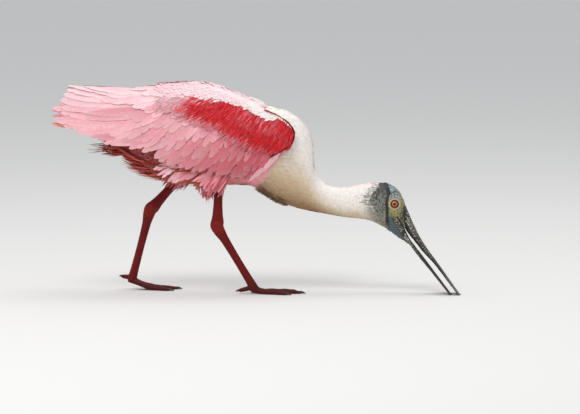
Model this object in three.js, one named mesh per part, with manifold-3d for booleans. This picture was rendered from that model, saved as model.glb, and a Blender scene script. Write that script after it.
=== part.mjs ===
// A life-size roseate spoonbill, wading with its neck stretched forward and the
// open bill dipped to the ground. Millimetres, +Z up, the bird faces +X and its
// right side is towards -Y. The group is centred on its own box, feet at z = 0.
import * as THREE from "three";
import { mergeVertices } from "three/addons/utils/BufferGeometryUtils.js";
import Module from "manifold-3d";

const wasm = await Module();
wasm.setup();

// Driving dimensions.
const GAP = 0.3; // between neighbours that meet face to face
const RING_SIDES = 24; // facets round the body and neck
const TARSUS_LENGTH = 117; // ankle joint to toe joint
const JOINT_RADIUS = 11; // the ankle's
const KNUCKLE = 9; // how far over the toe joint the foot begins
const MIDDLE_TOE = 72;
const EYE_RADIUS = 7;
const EYE = new THREE.Vector3(222.7, 12.6, 143.8);
const LID_RADIUS = 5.9;
const LID_THICKNESS = 1.1;
const TAIL_LENGTH = 98;
const HEAD_SWING = 38; // how far the bill tip is swung to the bird's right
const SWING_START_X = 80;
const SWING_END_X = 326;

// Colours of the plain solids.
const COLOURS = {
  white: 0xe6e0db,
  mantle: 0xecd5d9,
  pink: 0xc7808a,
  carmine: 0xab1410,
  undertail: 0x8a2a1c,
  leg: 0x5e120d,
  skin: 0x8f9275,
  horn: 0x5c5a50,
  salmon: 0xe08a62,
  iris: 0xc8451c,
};

// The body as ribs from the tail root to the bill base. Each rib has its upper
// point and lower point in the middle plane, its half width and its squareness.
const RIBS = [
  { top: [-229, 273], low: [-235, 247], half: 16 },
  { top: [-200, 298], low: [-203, 221], half: 34 },
  { top: [-168, 314], low: [-168, 189], half: 47 },
  { top: [-128, 328], low: [-128, 179], half: 56 },
  { top: [-88, 332], low: [-80, 174], half: 61 },
  { top: [-48, 323], low: [-37, 174], half: 62 },
  { top: [-8, 307], low: [-8, 172], half: 60 },
  { top: [27, 297], low: [11, 162], half: 55 },
  { top: [56, 288], low: [32, 149], half: 47 },
  { top: [80, 268], low: [51, 141], half: 39 },
  { top: [93, 236], low: [74, 134], half: 32 },
  { top: [98, 193], low: [101, 128.5], half: 26 },
  { top: [117, 171.5], low: [123, 124.5], half: 22 },
  { top: [144, 168.5], low: [149, 120.5], half: 20 },
  { top: [171, 174], low: [171, 118.5], half: 20.5 },
  { top: [193.5, 176], low: [187, 115], half: 20.5 },
  { top: [212, 175.5], low: [200, 109], half: 20 },
  { top: [227, 167], low: [213, 101], half: 18.5 },
  { top: [236.5, 152], low: [225.5, 92], half: 15.5 },
  { top: [240, 141], low: [238, 83], half: 12.5 },
];
const RIB = { tail: 0, neck: 9, nape: 12, head: 15, bill: 19 }; // where nodes part
const SQUARENESS = 2.2;

// The folded wing's outer surface, along x: height of its widest line, half
// height and half width, and where its upper and lower edges lie.
const WING = [
  { x: 64, mid: 244, high: 60, wide: 47, top: 262, low: 246 },
  { x: 50, mid: 243, high: 66, wide: 55, top: 277, low: 229 },
  { x: 27, mid: 242, high: 72, wide: 60, top: 290, low: 216 },
  { x: -8, mid: 246, high: 74, wide: 66, top: 311, low: 208 },
  { x: -48, mid: 250, high: 81, wide: 69, top: 326, low: 204 },
  { x: -88, mid: 253, high: 84, wide: 68, top: 334, low: 206 },
  { x: -128, mid: 254, high: 82, wide: 63, top: 333, low: 213 },
  { x: -168, mid: 252, high: 80, wide: 56, top: 329, low: 226 },
  { x: -200, mid: 250, high: 79, wide: 50, top: 325, low: 238 },
  { x: -235, mid: 248, high: 80, wide: 44, top: 320, low: 252 },
  { x: -270, mid: 246, high: 82, wide: 38, top: 306, low: 254 },
  { x: -326, mid: 246, high: 84, wide: 31, top: 300, low: 262 },
];
const WING_END_X = -222; // past here the wing is feathers alone
const WING_THICKNESS = 24; // before the torso is cut from it
const WING_TIP_THICKNESS = 4;

// The wing's feathers in tiers, seen from the side. Roots and tips each lie
// along a curve in x and z, and later tiers lie over earlier ones.
const WING_TIERS = [
  {
    name: "primaries",
    count: 7,
    half: 13.5,
    lift: 1.2,
    rows: 5,
    roots: [[-150, 240], [-172, 258], [-180, 275], [-178, 292]],
    tips: [[-243, 240.5], [-292, 240], [-322, 262], [-312, 304]],
  },
  {
    name: "secondaries",
    count: 10,
    half: 15,
    lift: 1.8,
    rows: 4,
    roots: [[44, 252], [0, 250], [-60, 252], [-120, 262], [-160, 276]],
    tips: [[26, 214], [-38, 193], [-115, 199], [-175, 222], [-233, 243]],
  },
  {
    name: "greater coverts",
    count: 7,
    half: 16,
    lift: 2.6,
    rows: 4,
    roots: [[54, 266], [10, 277], [-50, 284], [-105, 291], [-150, 297]],
    tips: [[38, 233], [-16, 226], [-78, 232], [-138, 247], [-205, 268]],
  },
  {
    name: "tertials",
    count: 5,
    half: 13,
    lift: 3.2,
    rows: 4,
    roots: [[-140, 298], [-150, 311], [-152, 320], [-150, 328]],
    tips: [[-254, 283], [-290, 303], [-297, 320], [-284, 331]],
  },
  {
    name: "median coverts",
    count: 7,
    half: 13.5,
    lift: 3.4,
    rows: 3,
    roots: [[58, 264], [30, 284], [-16, 297], [-60, 306], [-100, 311]],
    tips: [[48, 246], [8, 250], [-40, 257], [-90, 266], [-150, 280]],
  },
  {
    name: "lesser coverts",
    count: 5,
    half: 13,
    lift: 4,
    rows: 3,
    roots: [[52, 276], [22, 291], [-20, 302], [-64, 314]],
    tips: [[38, 261], [0, 271], [-48, 280], [-104, 291]],
  },
  {
    name: "scapulars",
    count: 6,
    half: 14,
    lift: 2.4,
    rows: 4,
    roots: [[0, 310], [-36, 324], [-76, 333], [-130, 333]],
    tips: [[-74, 306], [-128, 314], [-184, 320], [-250, 327]],
  },
];
const VANE_THICKNESS = 1.1; // from its middle plane to its crest
const SHINGLE = 0.9; // how far one edge rides over its neighbour
const ROOT_DEPTH = -2.4; // where a feather's root lies under the surface

// The tail's fan and the feathers under it.
const TAIL = { count: 12, half: 8.5, root: 7, spread: 15, rise: 11 };
const UNDERTAIL = { count: 15, half: 6 };

// The bill's two halves as ribs from the face to the tip.
const UPPER_BILL = [
  { top: [241, 140], low: [238.9, 106], half: 12.3 },
  { top: [247, 125.5], low: [244.8, 96], half: 11 },
  { top: [254, 109.5], low: [249.6, 90], half: 9.8 },
  { top: [263, 91.5], low: [256.2, 82], half: 8.8 },
  { top: [275.5, 72], low: [268.6, 66.5], half: 8.4 },
  { top: [289.6, 52.8], low: [285, 49.2], half: 10 },
  { top: [300.5, 37.8], low: [296.8, 34.6], half: 15.5 },
  { top: [310.4, 24], low: [307, 21.2], half: 22 },
  { top: [319.2, 11.6], low: [316.2, 9.2], half: 24.5 },
  { top: [324.6, 4], low: [321.8, 1.6], half: 21.5 },
  { top: [328.4, -1.6], low: [326, -3.6], half: 14 },
];
const LOWER_BILL = [
  { top: [238.9, 104.4], low: [238.6, 83.5], half: 11.6 },
  { top: [244.2, 93], low: [242.8, 80.6], half: 10 },
  { top: [252, 80.6], low: [247.8, 76.6], half: 8.6 },
  { top: [262, 68], low: [257.6, 64], half: 7.9 },
  { top: [275.5, 50.4], low: [271.4, 46.8], half: 9.6 },
  { top: [285.4, 37.4], low: [281.8, 34.4], half: 14.8 },
  { top: [294.8, 25], low: [291.6, 22.3], half: 21 },
  { top: [303.4, 13.6], low: [300.6, 11.2], half: 23.4 },
  { top: [309.4, 5.7], low: [306.8, 3.4], half: 20.6 },
  { top: [314.8, -1.4], low: [312.6, -3.4], half: 13.4 },
];

// Each leg as its joints, in walking order from the body to the toe joint. The
// right leg reaches forward with its foot flat, the left pushes off its toes.
const LEGS = {
  right: {
    side: -1,
    thigh: new THREE.Vector3(-66, -36, 192),
    knee: new THREE.Vector3(-58, -31, 174),
    ankle: new THREE.Vector3(-60, -31, 107),
    toes: new THREE.Vector3(0, -30, 7),
    hallux: new THREE.Vector3(-31, -24, 3),
    heelLift: 0,
  },
  left: {
    side: 1,
    thigh: new THREE.Vector3(-112, 37, 198),
    knee: new THREE.Vector3(-124, 33, 178),
    ankle: new THREE.Vector3(-169, 33, 128),
    toes: new THREE.Vector3(-198, 38, 17),
    hallux: new THREE.Vector3(-219, 36, 22),
    heelLift: 10,
  },
};
// How far each front toe turns out from straight ahead, and its share of the
// middle toe's length.
const TOES = [
  { turn: -24, share: 0.76 },
  { turn: -1, share: 1 },
  { turn: 22, share: 0.9 },
];

// A closed mesh from rings with equal point counts, with a fan over each end.
function loft(rings) {
  const count = rings[0].length;
  const points = rings.flat();
  const index = [];
  for (let i = 0; i + 1 < rings.length; i += 1) {
    for (let j = 0; j < count; j += 1) {
      const a = i * count + j;
      const b = i * count + ((j + 1) % count);
      index.push(a, b, b + count, a, b + count, a + count);
    }
  }
  const centre = (ring) =>
    ring.reduce((sum, p) => sum.add(p), new THREE.Vector3()).divideScalar(count);
  const last = (rings.length - 1) * count;
  points.push(centre(rings[0]), centre(rings[rings.length - 1]));
  for (let j = 0; j < count; j += 1) {
    const next = (j + 1) % count;
    index.push(points.length - 2, next, j);
    index.push(points.length - 1, last + j, last + next);
  }
  return new THREE.BufferGeometry().setFromPoints(points).setIndex(index);
}

// A closed geometry as a solid that faces outwards.
function solid(geometry) {
  const bare = geometry.clone();
  bare.deleteAttribute("normal");
  bare.deleteAttribute("uv");
  const merged = mergeVertices(bare, 1e-3);
  const vertProperties = new Float32Array(merged.attributes.position.array);
  const triVerts = new Uint32Array(merged.index.array);
  const made = new wasm.Manifold(
    new wasm.Mesh({ numProp: 3, vertProperties, triVerts }),
  );
  if (made.volume() > 0) return made;
  for (let i = 0; i < triVerts.length; i += 3) {
    [triVerts[i], triVerts[i + 1]] = [triVerts[i + 1], triVerts[i]];
  }
  return new wasm.Manifold(
    new wasm.Mesh({ numProp: 3, vertProperties, triVerts }),
  );
}

// A feather's vane: a thin lens across each row, cut the same way on both faces.
// A row has its centre, its two directions, its half width and its thickness.
function vane(rows) {
  const points = rows.flatMap(({ centre, across, normal, half, thick, tilt }) => {
    const at = (w, h) => centre.clone().addScaledVector(across, w).addScaledVector(normal, h);
    return [at(half, tilt), at(0, thick), at(-half, -tilt), at(0, -thick)];
  });
  const end = points.length - 4;
  const index = [0, 2, 1, 0, 3, 2, end, end + 1, end + 2, end, end + 2, end + 3];
  const strip = (a, b, flip) => {
    const faces = flip ? [a, b + 4, b, a, a + 4, b + 4] : [a, b, b + 4, a, b + 4, a + 4];
    index.push(...faces);
  };
  for (let i = 0; i < end; i += 4) {
    strip(i, i + 1, false);
    strip(i + 1, i + 2, false);
    strip(i, i + 3, true);
    strip(i + 3, i + 2, true);
  }
  return new THREE.BufferGeometry().setFromPoints(points).setIndex(index);
}

// How wide a vane is along its length, from its root to its rounded tip.
function vaneWidth(t) {
  const root = 0.45 + 0.55 * Math.min(1, t / 0.3);
  return root * Math.sqrt(Math.max(0.2, 1 - Math.max(0, (t - 0.62) / 0.38) ** 2.2));
}

// Numbers from 0 to 1 that look random and are the same on every run.
function seeded(seed) {
  let state = seed;
  return () => {
    state = (Math.imul(state, 1664525) + 1013904223) >>> 0;
    return state / 4294967296;
  };
}

const join = (solids) => solids.reduce((all, next) => all.add(next));

// The largest closed surface of a solid, as a geometry.
function geometryOf(made) {
  const parts = made.decompose().sort((a, b) => b.volume() - a.volume());
  const mesh = parts[0].getMesh();
  const step = mesh.numProp;
  const position = new Float32Array(mesh.numVert * 3);
  for (let i = 0; i < mesh.numVert; i += 1) {
    position.set(mesh.vertProperties.subarray(i * step, i * step + 3), i * 3);
  }
  return new THREE.BufferGeometry()
    .setAttribute("position", new THREE.BufferAttribute(position, 3))
    .setIndex(new THREE.BufferAttribute(new Uint32Array(mesh.triVerts), 1));
}

// Where a point of the neck, head or bill lies once they swing to the right.
function swing(point) {
  const share = (point.x - SWING_START_X) / (SWING_END_X - SWING_START_X);
  if (share > 0) point.y -= HEAD_SWING * share * share;
  return point;
}

// A smooth series of ribs, read at any station from 0 to its last index.
class Ribs {
  constructor(ribs) {
    const curve = (pick) =>
      new THREE.SplineCurve(ribs.map((r, i) => new THREE.Vector2(...pick(r, i))));
    this.top = curve((r) => r.top);
    this.low = curve((r) => r.low);
    this.half = curve((r, i) => [i, r.half]);
    this.last = ribs.length - 1;
  }

  // A point of the surface, at an angle from the top towards the left side.
  at(station, angle, grow = 0, power = SQUARENESS) {
    const t = station / this.last;
    const top = this.top.getPoint(t);
    const low = this.low.getPoint(t);
    const middle = top.clone().add(low).divideScalar(2);
    const up = top.clone().sub(middle);
    up.setLength(up.length() + grow);
    const c = Math.sign(Math.cos(angle)) * Math.abs(Math.cos(angle)) ** (2 / power);
    const s = Math.sign(Math.sin(angle)) * Math.abs(Math.sin(angle)) ** (2 / power);
    const side = (this.half.getPoint(t).y + grow) * s;
    return swing(new THREE.Vector3(middle.x + up.x * c, side, middle.y + up.y * c));
  }

  // The rib's ring of points, grown outwards all round.
  ring(station, grow = 0, sides = RING_SIDES, power = SQUARENESS) {
    return Array.from({ length: sides }, (_, i) =>
      this.at(station, (2 * Math.PI * i) / sides, grow, power),
    );
  }

  // The rings from one station to another, spread by the step given. The first
  // is moved on by a shift, so that two lengths part with an even gap.
  rings(from, to, step, { grow = 0, shift = 0, sides, power } = {}) {
    const count = Math.max(1, Math.round((to - from) / step));
    const made = Array.from({ length: count + 1 }, (_, i) =>
      this.ring(from + ((to - from) * i) / count, grow, sides, power),
    );
    if (shift) {
      const [a, b, c] = [0, 6, 12].map((k) => made[0][k]);
      const ahead = new THREE.Plane().setFromCoplanarPoints(a, b, c).normal;
      const on = made[1][0].clone().sub(made[0][0]);
      if (ahead.dot(on) < 0) ahead.negate();
      made[0].forEach((p) => p.addScaledVector(ahead, shift));
    }
    return made;
  }
}

const body = new Ribs(RIBS);

// The folded wing's outer surface, read along x and round an angle from the
// top of the back.
class WingSurface {
  constructor(stations) {
    this.stations = stations;
  }

  // One of the stations' values at x, on a smooth curve.
  value(name, x) {
    const s = this.stations;
    let i = s.findIndex((station) => station.x < x);
    if (i < 1) i = i === 0 ? 1 : s.length - 1;
    const [a, b] = [s[i - 1], s[i]];
    const [before, after] = [s[i - 2] ?? a, s[i + 1] ?? b];
    const t = THREE.MathUtils.clamp((x - a.x) / (b.x - a.x), 0, 1);
    const v0 = (b[name] - before[name]) * 0.5;
    const v1 = (after[name] - a[name]) * 0.5;
    const rise = b[name] - a[name];
    return a[name] + t * (v0 + t * (3 * rise - 2 * v0 - v1 + t * (v0 + v1 - 2 * rise)));
  }

  angleAt(x, z) {
    const reach = (z - this.value("mid", x)) / this.value("high", x);
    const c = THREE.MathUtils.clamp(reach, -0.995, 0.995);
    return Math.acos(Math.sign(c) * Math.abs(c) ** (SQUARENESS / 2));
  }

  flat(x, angle) {
    const c = Math.cos(angle);
    const s = Math.sin(angle);
    const power = 2 / SQUARENESS;
    const y = this.value("wide", x) * Math.abs(s) ** power;
    const z = this.value("mid", x) + this.value("high", x) * Math.sign(c) * Math.abs(c) ** power;
    return new THREE.Vector3(x, y, z);
  }

  normal(x, angle) {
    const along = this.flat(x + 1, angle).sub(this.flat(x - 1, angle));
    const round = this.flat(x, angle + 0.02).sub(this.flat(x, angle - 0.02));
    return along.cross(round).normalize();
  }

  // The point at a height over the surface, on the bird's left (+1) or right.
  point(x, angle, lift, side) {
    const p = this.flat(x, angle).addScaledVector(this.normal(x, angle), lift);
    return new THREE.Vector3(p.x, p.y * side, p.z);
  }
}

const wingSurface = new WingSurface(WING);

// The wing's core: the space between its outer surface and the body.
function wingCore(side) {
  const front = wingSurface.stations[0].x - 0.5;
  const steps = 10;
  const rows = 7;
  const rings = Array.from({ length: steps + 1 }, (_, i) => {
    const x = front + (WING_END_X - front) * (i / steps) ** 1.1;
    const from = wingSurface.angleAt(x, wingSurface.value("top", x));
    const to = wingSurface.angleAt(x, wingSurface.value("low", x));
    const thick = THREE.MathUtils.lerp(WING_THICKNESS, WING_TIP_THICKNESS, (i / steps) ** 3);
    const full = (k) => 1 - Math.abs((2 * k) / (rows - 1) - 1) ** 4;
    const at = (k, lift) =>
      wingSurface.point(x, from + ((to - from) * k) / (rows - 1), lift, side);
    const outer = Array.from({ length: rows }, (_, k) => at(k, -0.6 - 2 * (1 - full(k))));
    const inner = Array.from({ length: rows }, (_, k) =>
      at(k, -2.8 - thick * (0.35 + 0.65 * full(k))),
    );
    return [...outer, ...inner.reverse()];
  });
  return solid(loft(rings));
}

// One feather on the wing from its root to its tip, both given in x and z.
function wingFeather(root, tip, tier, side, random) {
  const turn = (random() - 0.5) * 0.06;
  const from = { x: root.x, angle: wingSurface.angleAt(root.x, root.y) };
  const to = { x: tip.x, angle: wingSurface.angleAt(tip.x, tip.y) + turn };
  const lift = tier.lift + (random() - 0.5) * 0.5;
  const half = tier.half * (0.94 + 0.12 * random());
  const at = (t) => {
    const rise = ROOT_DEPTH + (lift - ROOT_DEPTH) * t ** 0.8;
    const bow = 0.05 * Math.sin(Math.PI * t);
    return wingSurface.point(
      THREE.MathUtils.lerp(from.x, to.x, t),
      THREE.MathUtils.lerp(from.angle, to.angle, t) + bow,
      rise,
      side,
    );
  };
  const rows = Array.from({ length: tier.rows }, (_, i) => {
    const t = i / (tier.rows - 1);
    const centre = at(t);
    const ahead = at(Math.min(1, t + 0.02)).sub(at(Math.max(0, t - 0.02))).normalize();
    const out = wingSurface.normal(
      THREE.MathUtils.lerp(from.x, to.x, t),
      THREE.MathUtils.lerp(from.angle, to.angle, t),
    );
    out.y *= side;
    const across = out.clone().cross(ahead).normalize();
    if (across.x - across.z < 0) across.negate();
    const normal = across.clone().cross(ahead).normalize();
    if (normal.dot(out) < 0) normal.negate();
    const width = vaneWidth(t);
    const thick = VANE_THICKNESS * (1 - 0.55 * t);
    return { centre, across, normal, half: half * width, thick, tilt: SHINGLE * width };
  });
  return solid(vane(rows));
}

// The folded wing: its core, with every tier of feathers grown from it.
function wing(leg) {
  const side = leg.side;
  const random = seeded(side > 0 ? 7 : 11);
  const line = (points) => new THREE.SplineCurve(points.map((p) => new THREE.Vector2(...p)));
  const feathers = WING_TIERS.flatMap((tier) => {
    const [roots, tips] = [line(tier.roots), line(tier.tips)];
    return Array.from({ length: tier.count }, (_, i) => {
      const t = i / (tier.count - 1);
      return wingFeather(roots.getPoint(t), tips.getPoint(t), tier, side, random);
    });
  });
  const ownSide = solid(new THREE.BoxGeometry(900, 300, 900).translate(0, 150.2 * side, 0));
  const besides = torsoGrown.add(thigh(leg, 2 * GAP));
  return wingCore(side).add(join(feathers)).subtract(besides).intersect(ownSide);
}

const torsoRings = (grow) => body.rings(RIB.tail, RIB.neck, 0.5, { grow });
const torsoGrown = solid(loft(torsoRings(GAP)));

// A limb along a curve with an oval section, from [share, fore-aft radius,
// sideways radius] stations.
function limb(points, stations, sides = 12) {
  const curve = new THREE.CatmullRomCurve3(points, false, "centripetal");
  return loft(
    stations.map(([share, deep, wide]) => {
      const centre = curve.getPointAt(share);
      const ahead = curve.getTangentAt(share);
      const across = new THREE.Vector3(0, 1, 0).addScaledVector(ahead, -ahead.y).normalize();
      const fore = across.clone().cross(ahead);
      return Array.from({ length: sides }, (_, i) => {
        const angle = (2 * Math.PI * i) / sides;
        return centre
          .clone()
          .addScaledVector(fore, deep * Math.cos(angle))
          .addScaledVector(across, wide * Math.sin(angle));
      });
    }),
  );
}

const lerp = (a, b, t) => a.clone().lerp(b, t);
const floor = solid(new THREE.BoxGeometry(900, 300, 40).translate(0, 0, -20));

// A block that fills everything near a joint on the far side of a plane.
function beyond(point, ahead, size = 60) {
  const turn = new THREE.Quaternion().setFromUnitVectors(new THREE.Vector3(0, 0, 1), ahead);
  const centre = point.clone().addScaledVector(ahead, size / 2);
  return solid(
    new THREE.BoxGeometry(size, size, size).applyQuaternion(turn).translate(...centre),
  );
}

function thigh(leg, grow = 0) {
  const made = solid(
    limb(
      [leg.thigh, lerp(leg.thigh, leg.knee, 0.5), leg.knee],
      [
        [0, 27 + grow, 13 + grow],
        [0.35, 23 + grow, 12.5 + grow],
        [0.7, 14 + grow, 10.5 + grow],
        [1, 8.8 + grow, 7.4 + grow],
      ],
      16,
    ),
  );
  const down = leg.ankle.clone().sub(leg.knee).normalize();
  return made.subtract(torsoGrown).subtract(beyond(leg.knee, down));
}

function tibia(leg) {
  const along = leg.ankle.clone().sub(leg.knee).normalize();
  const from = leg.knee.clone().addScaledVector(along, GAP);
  const to = leg.ankle.clone().addScaledVector(along, -JOINT_RADIUS);
  return solid(
    limb(
      [from, lerp(from, to, 0.5), to],
      [
        [0, 7.9, 6.6],
        [0.3, 7.2, 6],
        [0.7, 7.1, 5.8],
        [1, 8.8, 7],
      ],
    ),
  );
}

function tarsus(leg) {
  const down = leg.toes.clone().sub(leg.ankle).normalize();
  const up = leg.knee.clone().sub(leg.ankle).normalize();
  const start = leg.ankle.clone().addScaledVector(up, JOINT_RADIUS);
  const end = leg.ankle.clone().addScaledVector(down, TARSUS_LENGTH - KNUCKLE);
  const above = beyond(leg.ankle.clone().addScaledVector(up, JOINT_RADIUS - GAP), up);
  return solid(
    limb(
      [start, leg.ankle, lerp(leg.ankle, end, 0.3), end],
      [
        [0, 8.8, 7],
        [0.05, 10.2, 8],
        [0.1, 11, 8.6],
        [0.17, 9.6, 7.6],
        [0.25, 7.4, 5.6],
        [0.55, 6.1, 4.8],
        [0.85, 6.4, 5.2],
        [1, 7.4, 7],
      ],
    ),
  )
    .subtract(above)
    .subtract(beyond(end, down));
}

// One toe from the toe joint, down to the floor and along it, with its pads.
function toe(leg, turn, length) {
  const yaw = THREE.MathUtils.degToRad(turn) * -leg.side;
  const ahead = new THREE.Vector3(Math.cos(yaw), Math.sin(yaw), 0);
  const at = (distance, z) =>
    new THREE.Vector3(leg.toes.x, leg.toes.y, z).addScaledVector(ahead, distance);
  const lift = leg.heelLift;
  return limb(
    [
      at(-4, leg.toes.z + 1),
      at(length * 0.2, 4.2 + lift * 0.62),
      at(length * 0.5, 3.3 + lift * 0.12),
      at(length * 0.8, 2.7),
      at(length, 2.3),
      at(length + 9, 0.9),
    ],
    [
      [0, 6.4, 6.2],
      [0.18, 4.4, 4.6],
      [0.3, 3.9, 4.1],
      [0.42, 4.3, 4.6],
      [0.58, 3.4, 3.6],
      [0.7, 3.7, 3.9],
      [0.86, 2.7, 2.6],
      [1, 0.5, 0.5],
    ],
    7,
  );
}

// The skin between two neighbouring toes, a thin web with a curved free edge.
function web(leg, from, to) {
  const spots = [from, to].map((t) => {
    const yaw = THREE.MathUtils.degToRad(t.turn) * -leg.side;
    const reach = MIDDLE_TOE * t.share * 0.42;
    return new THREE.Vector3(
      leg.toes.x + reach * Math.cos(yaw),
      leg.toes.y + reach * Math.sin(yaw),
      2.6 + leg.heelLift * 0.2,
    );
  });
  const root = new THREE.Vector3(leg.toes.x + 1, leg.toes.y, 3.4 + leg.heelLift);
  const inward = lerp(lerp(spots[0], spots[1], 0.5), root, 0.3);
  const edge = new THREE.QuadraticBezierCurve3(spots[0], inward, spots[1]).getPoints(4);
  const rings = edge.map((p) => {
    const near = lerp(root, p, 0.12);
    const up = new THREE.Vector3(0, 0, 0.9);
    return [near.clone().add(up), p.clone().add(up), p.clone().sub(up), near.clone().sub(up)];
  });
  return loft(rings);
}

function foot(leg) {
  const down = leg.toes.clone().sub(leg.ankle).normalize();
  const top = leg.ankle.clone().addScaledVector(down, TARSUS_LENGTH - KNUCKLE + GAP);
  const knuckle = limb(
    [top, lerp(top, leg.toes, 0.5), leg.toes],
    [
      [0, 7.4, 7],
      [0.5, 7.6, 7.4],
      [1, 6.4, 7],
    ],
  );
  const halluxRoot = leg.ankle.clone().addScaledVector(down, TARSUS_LENGTH - 5);
  const hallux = limb(
    [halluxRoot, lerp(halluxRoot, leg.hallux, 0.55), leg.hallux],
    [
      [0, 4.4, 4],
      [0.4, 3.6, 3.4],
      [0.72, 3.2, 3],
      [1, 0.5, 0.5],
    ],
    8,
  );
  const shapes = [
    knuckle,
    hallux,
    ...TOES.map((t) => toe(leg, t.turn, MIDDLE_TOE * t.share)),
    web(leg, TOES[0], TOES[1]),
    web(leg, TOES[1], TOES[2]),
  ];
  const shin = beyond(top, down.negate());
  return join(shapes.map(solid)).subtract(floor).subtract(shin);
}

// A ball at the eye's place on either side.
function ball(radius, side) {
  const centre = swing(new THREE.Vector3(EYE.x, EYE.y * side, EYE.z));
  return new THREE.SphereGeometry(radius, 14, 10).rotateX(Math.PI / 2).translate(...centre);
}

function lid(side) {
  const centre = swing(new THREE.Vector3(EYE.x, (EYE.y + 4.9) * side, EYE.z));
  return new THREE.TorusGeometry(LID_RADIUS, LID_THICKNESS, 5, 14)
    .rotateX(Math.PI / 2)
    .rotateZ(-0.12 * side)
    .translate(...centre);
}

// The line of the closed part of the mouth, cut into each side of the face.
function mouthLine(side) {
  const from = new THREE.Vector3(227, 18.2, 121.5);
  const to = new THREE.Vector3(241, 11.6, 103.5);
  const along = to.clone().sub(from);
  const centre = swing(lerp(from, to, 0.5).setY(14.9 * side));
  return new THREE.BoxGeometry(along.length() + 2, 4.5, 0.9)
    .rotateY(Math.atan2(-along.z, along.x))
    .rotateZ(-0.5 * side)
    .translate(...centre);
}

function head() {
  const rings = body.rings(RIB.head, RIB.bill, 0.5, { shift: GAP, power: 2 });
  const face = join([solid(loft(rings)), solid(lid(1)), solid(lid(-1))]);
  const cuts = [1, -1].flatMap((side) => [
    solid(ball(EYE_RADIUS + GAP, side)),
    solid(mouthLine(side)),
  ]);
  return face.subtract(join(cuts));
}

// A slit of a nostril beside the ridge of the upper bill.
function nostril(side) {
  const centre = swing(new THREE.Vector3(248, 5.2 * side, 121));
  return new THREE.SphereGeometry(1, 10, 8)
    .scale(5.5, 1, 1.6)
    .rotateY(THREE.MathUtils.degToRad(64))
    .translate(...centre);
}

function billHalf(ribs, last) {
  const rings = ribs.rings(0, last, 0.7, { sides: 14, power: 2 });
  return solid(loft(rings)).subtract(floor);
}

// A straight feather from a root to a tip, flat across its given direction.
function straightFeather(root, tip, across, half, count, { thick = 1, tilt = 0, point = 0 } = {}) {
  const ahead = tip.clone().sub(root).normalize();
  const side = across.clone().addScaledVector(ahead, -across.dot(ahead)).normalize();
  const normal = side.clone().cross(ahead).normalize();
  const rows = Array.from({ length: count }, (_, i) => {
    const t = i / (count - 1);
    const width = vaneWidth(t) * (1 - point * t);
    const centre = lerp(root, tip, t).addScaledVector(normal, -3 * t * (1 - t));
    const flat = { centre, across: side, normal, thick: thick * (1 - 0.5 * t) };
    return { ...flat, half: half * width, tilt: tilt * width };
  });
  return solid(vane(rows));
}

// The tail: a short root and a closed fan of feathers, the middle pair on top.
function tail() {
  const root = new THREE.Vector3(-226, 0, 259);
  const tip = new THREE.Vector3(-238, 0, 260.5);
  const stem = limb(
    [root, lerp(root, tip, 0.5), tip],
    [
      [0, 8, 12],
      [0.5, 6, 13],
      [1, 2.5, 11],
    ],
  );
  const feathers = Array.from({ length: TAIL.count }, (_, i) => {
    const k = (2 * i) / (TAIL.count - 1) - 1;
    const low = 3.2 * Math.abs(k);
    const from = new THREE.Vector3(-232, TAIL.root * k, 261 - low);
    const length = TAIL_LENGTH * (1 - 0.05 * k * k);
    const to = new THREE.Vector3(-229 - length, TAIL.spread * k, 261 + TAIL.rise - low);
    const across = new THREE.Vector3(0, k < 0 ? -1 : 1, 0);
    return straightFeather(from, to, across, TAIL.half, 4, { tilt: -0.9 });
  });
  return solid(stem).add(join(feathers)).subtract(torsoGrown);
}

// The feathers under the tail: a soft core over the vent and pointed vanes.
function undertail() {
  const random = seeded(23);
  const from = new THREE.Vector3(-150, 0, 197);
  const to = new THREE.Vector3(-234, 0, 238);
  const core = limb(
    [from, lerp(from, to, 0.5).add(new THREE.Vector3(0, 0, -7)), to],
    [
      [0, 5, 18],
      [0.3, 14, 27],
      [0.7, 9, 21],
      [1, 2, 11],
    ],
  );
  const feathers = Array.from({ length: UNDERTAIL.count }, (_, i) => {
    const row = i % 3;
    const k = (2 * (i + 0.5)) / UNDERTAIL.count - 1;
    const reach = 20 * row + 8 * random();
    const x = -172 - reach;
    const root = new THREE.Vector3(x, 21 * k, 196 + reach * 0.62 + 9 * k * k);
    const length = 46 + 14 * random();
    const tip = new THREE.Vector3(x - length, 25 * k, root.z + 8 + 10 * random() + 3 * row);
    const across = new THREE.Vector3(0, 1, 0.35 * k);
    return straightFeather(root, tip, across, UNDERTAIL.half, 4, { point: 0.5, tilt: 0.6 });
  });
  return solid(core).add(join(feathers)).subtract(torsoGrown);
}

// Names, materials and placing.
const model = new THREE.Group();

function place(name, made, colour, roughness = 0.8) {
  const material = new THREE.MeshStandardMaterial({ color: colour, roughness, metalness: 0 });
  const mesh = new THREE.Mesh(made.isBufferGeometry ? made : geometryOf(made), material);
  mesh.name = name;
  model.add(mesh);
}

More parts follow.
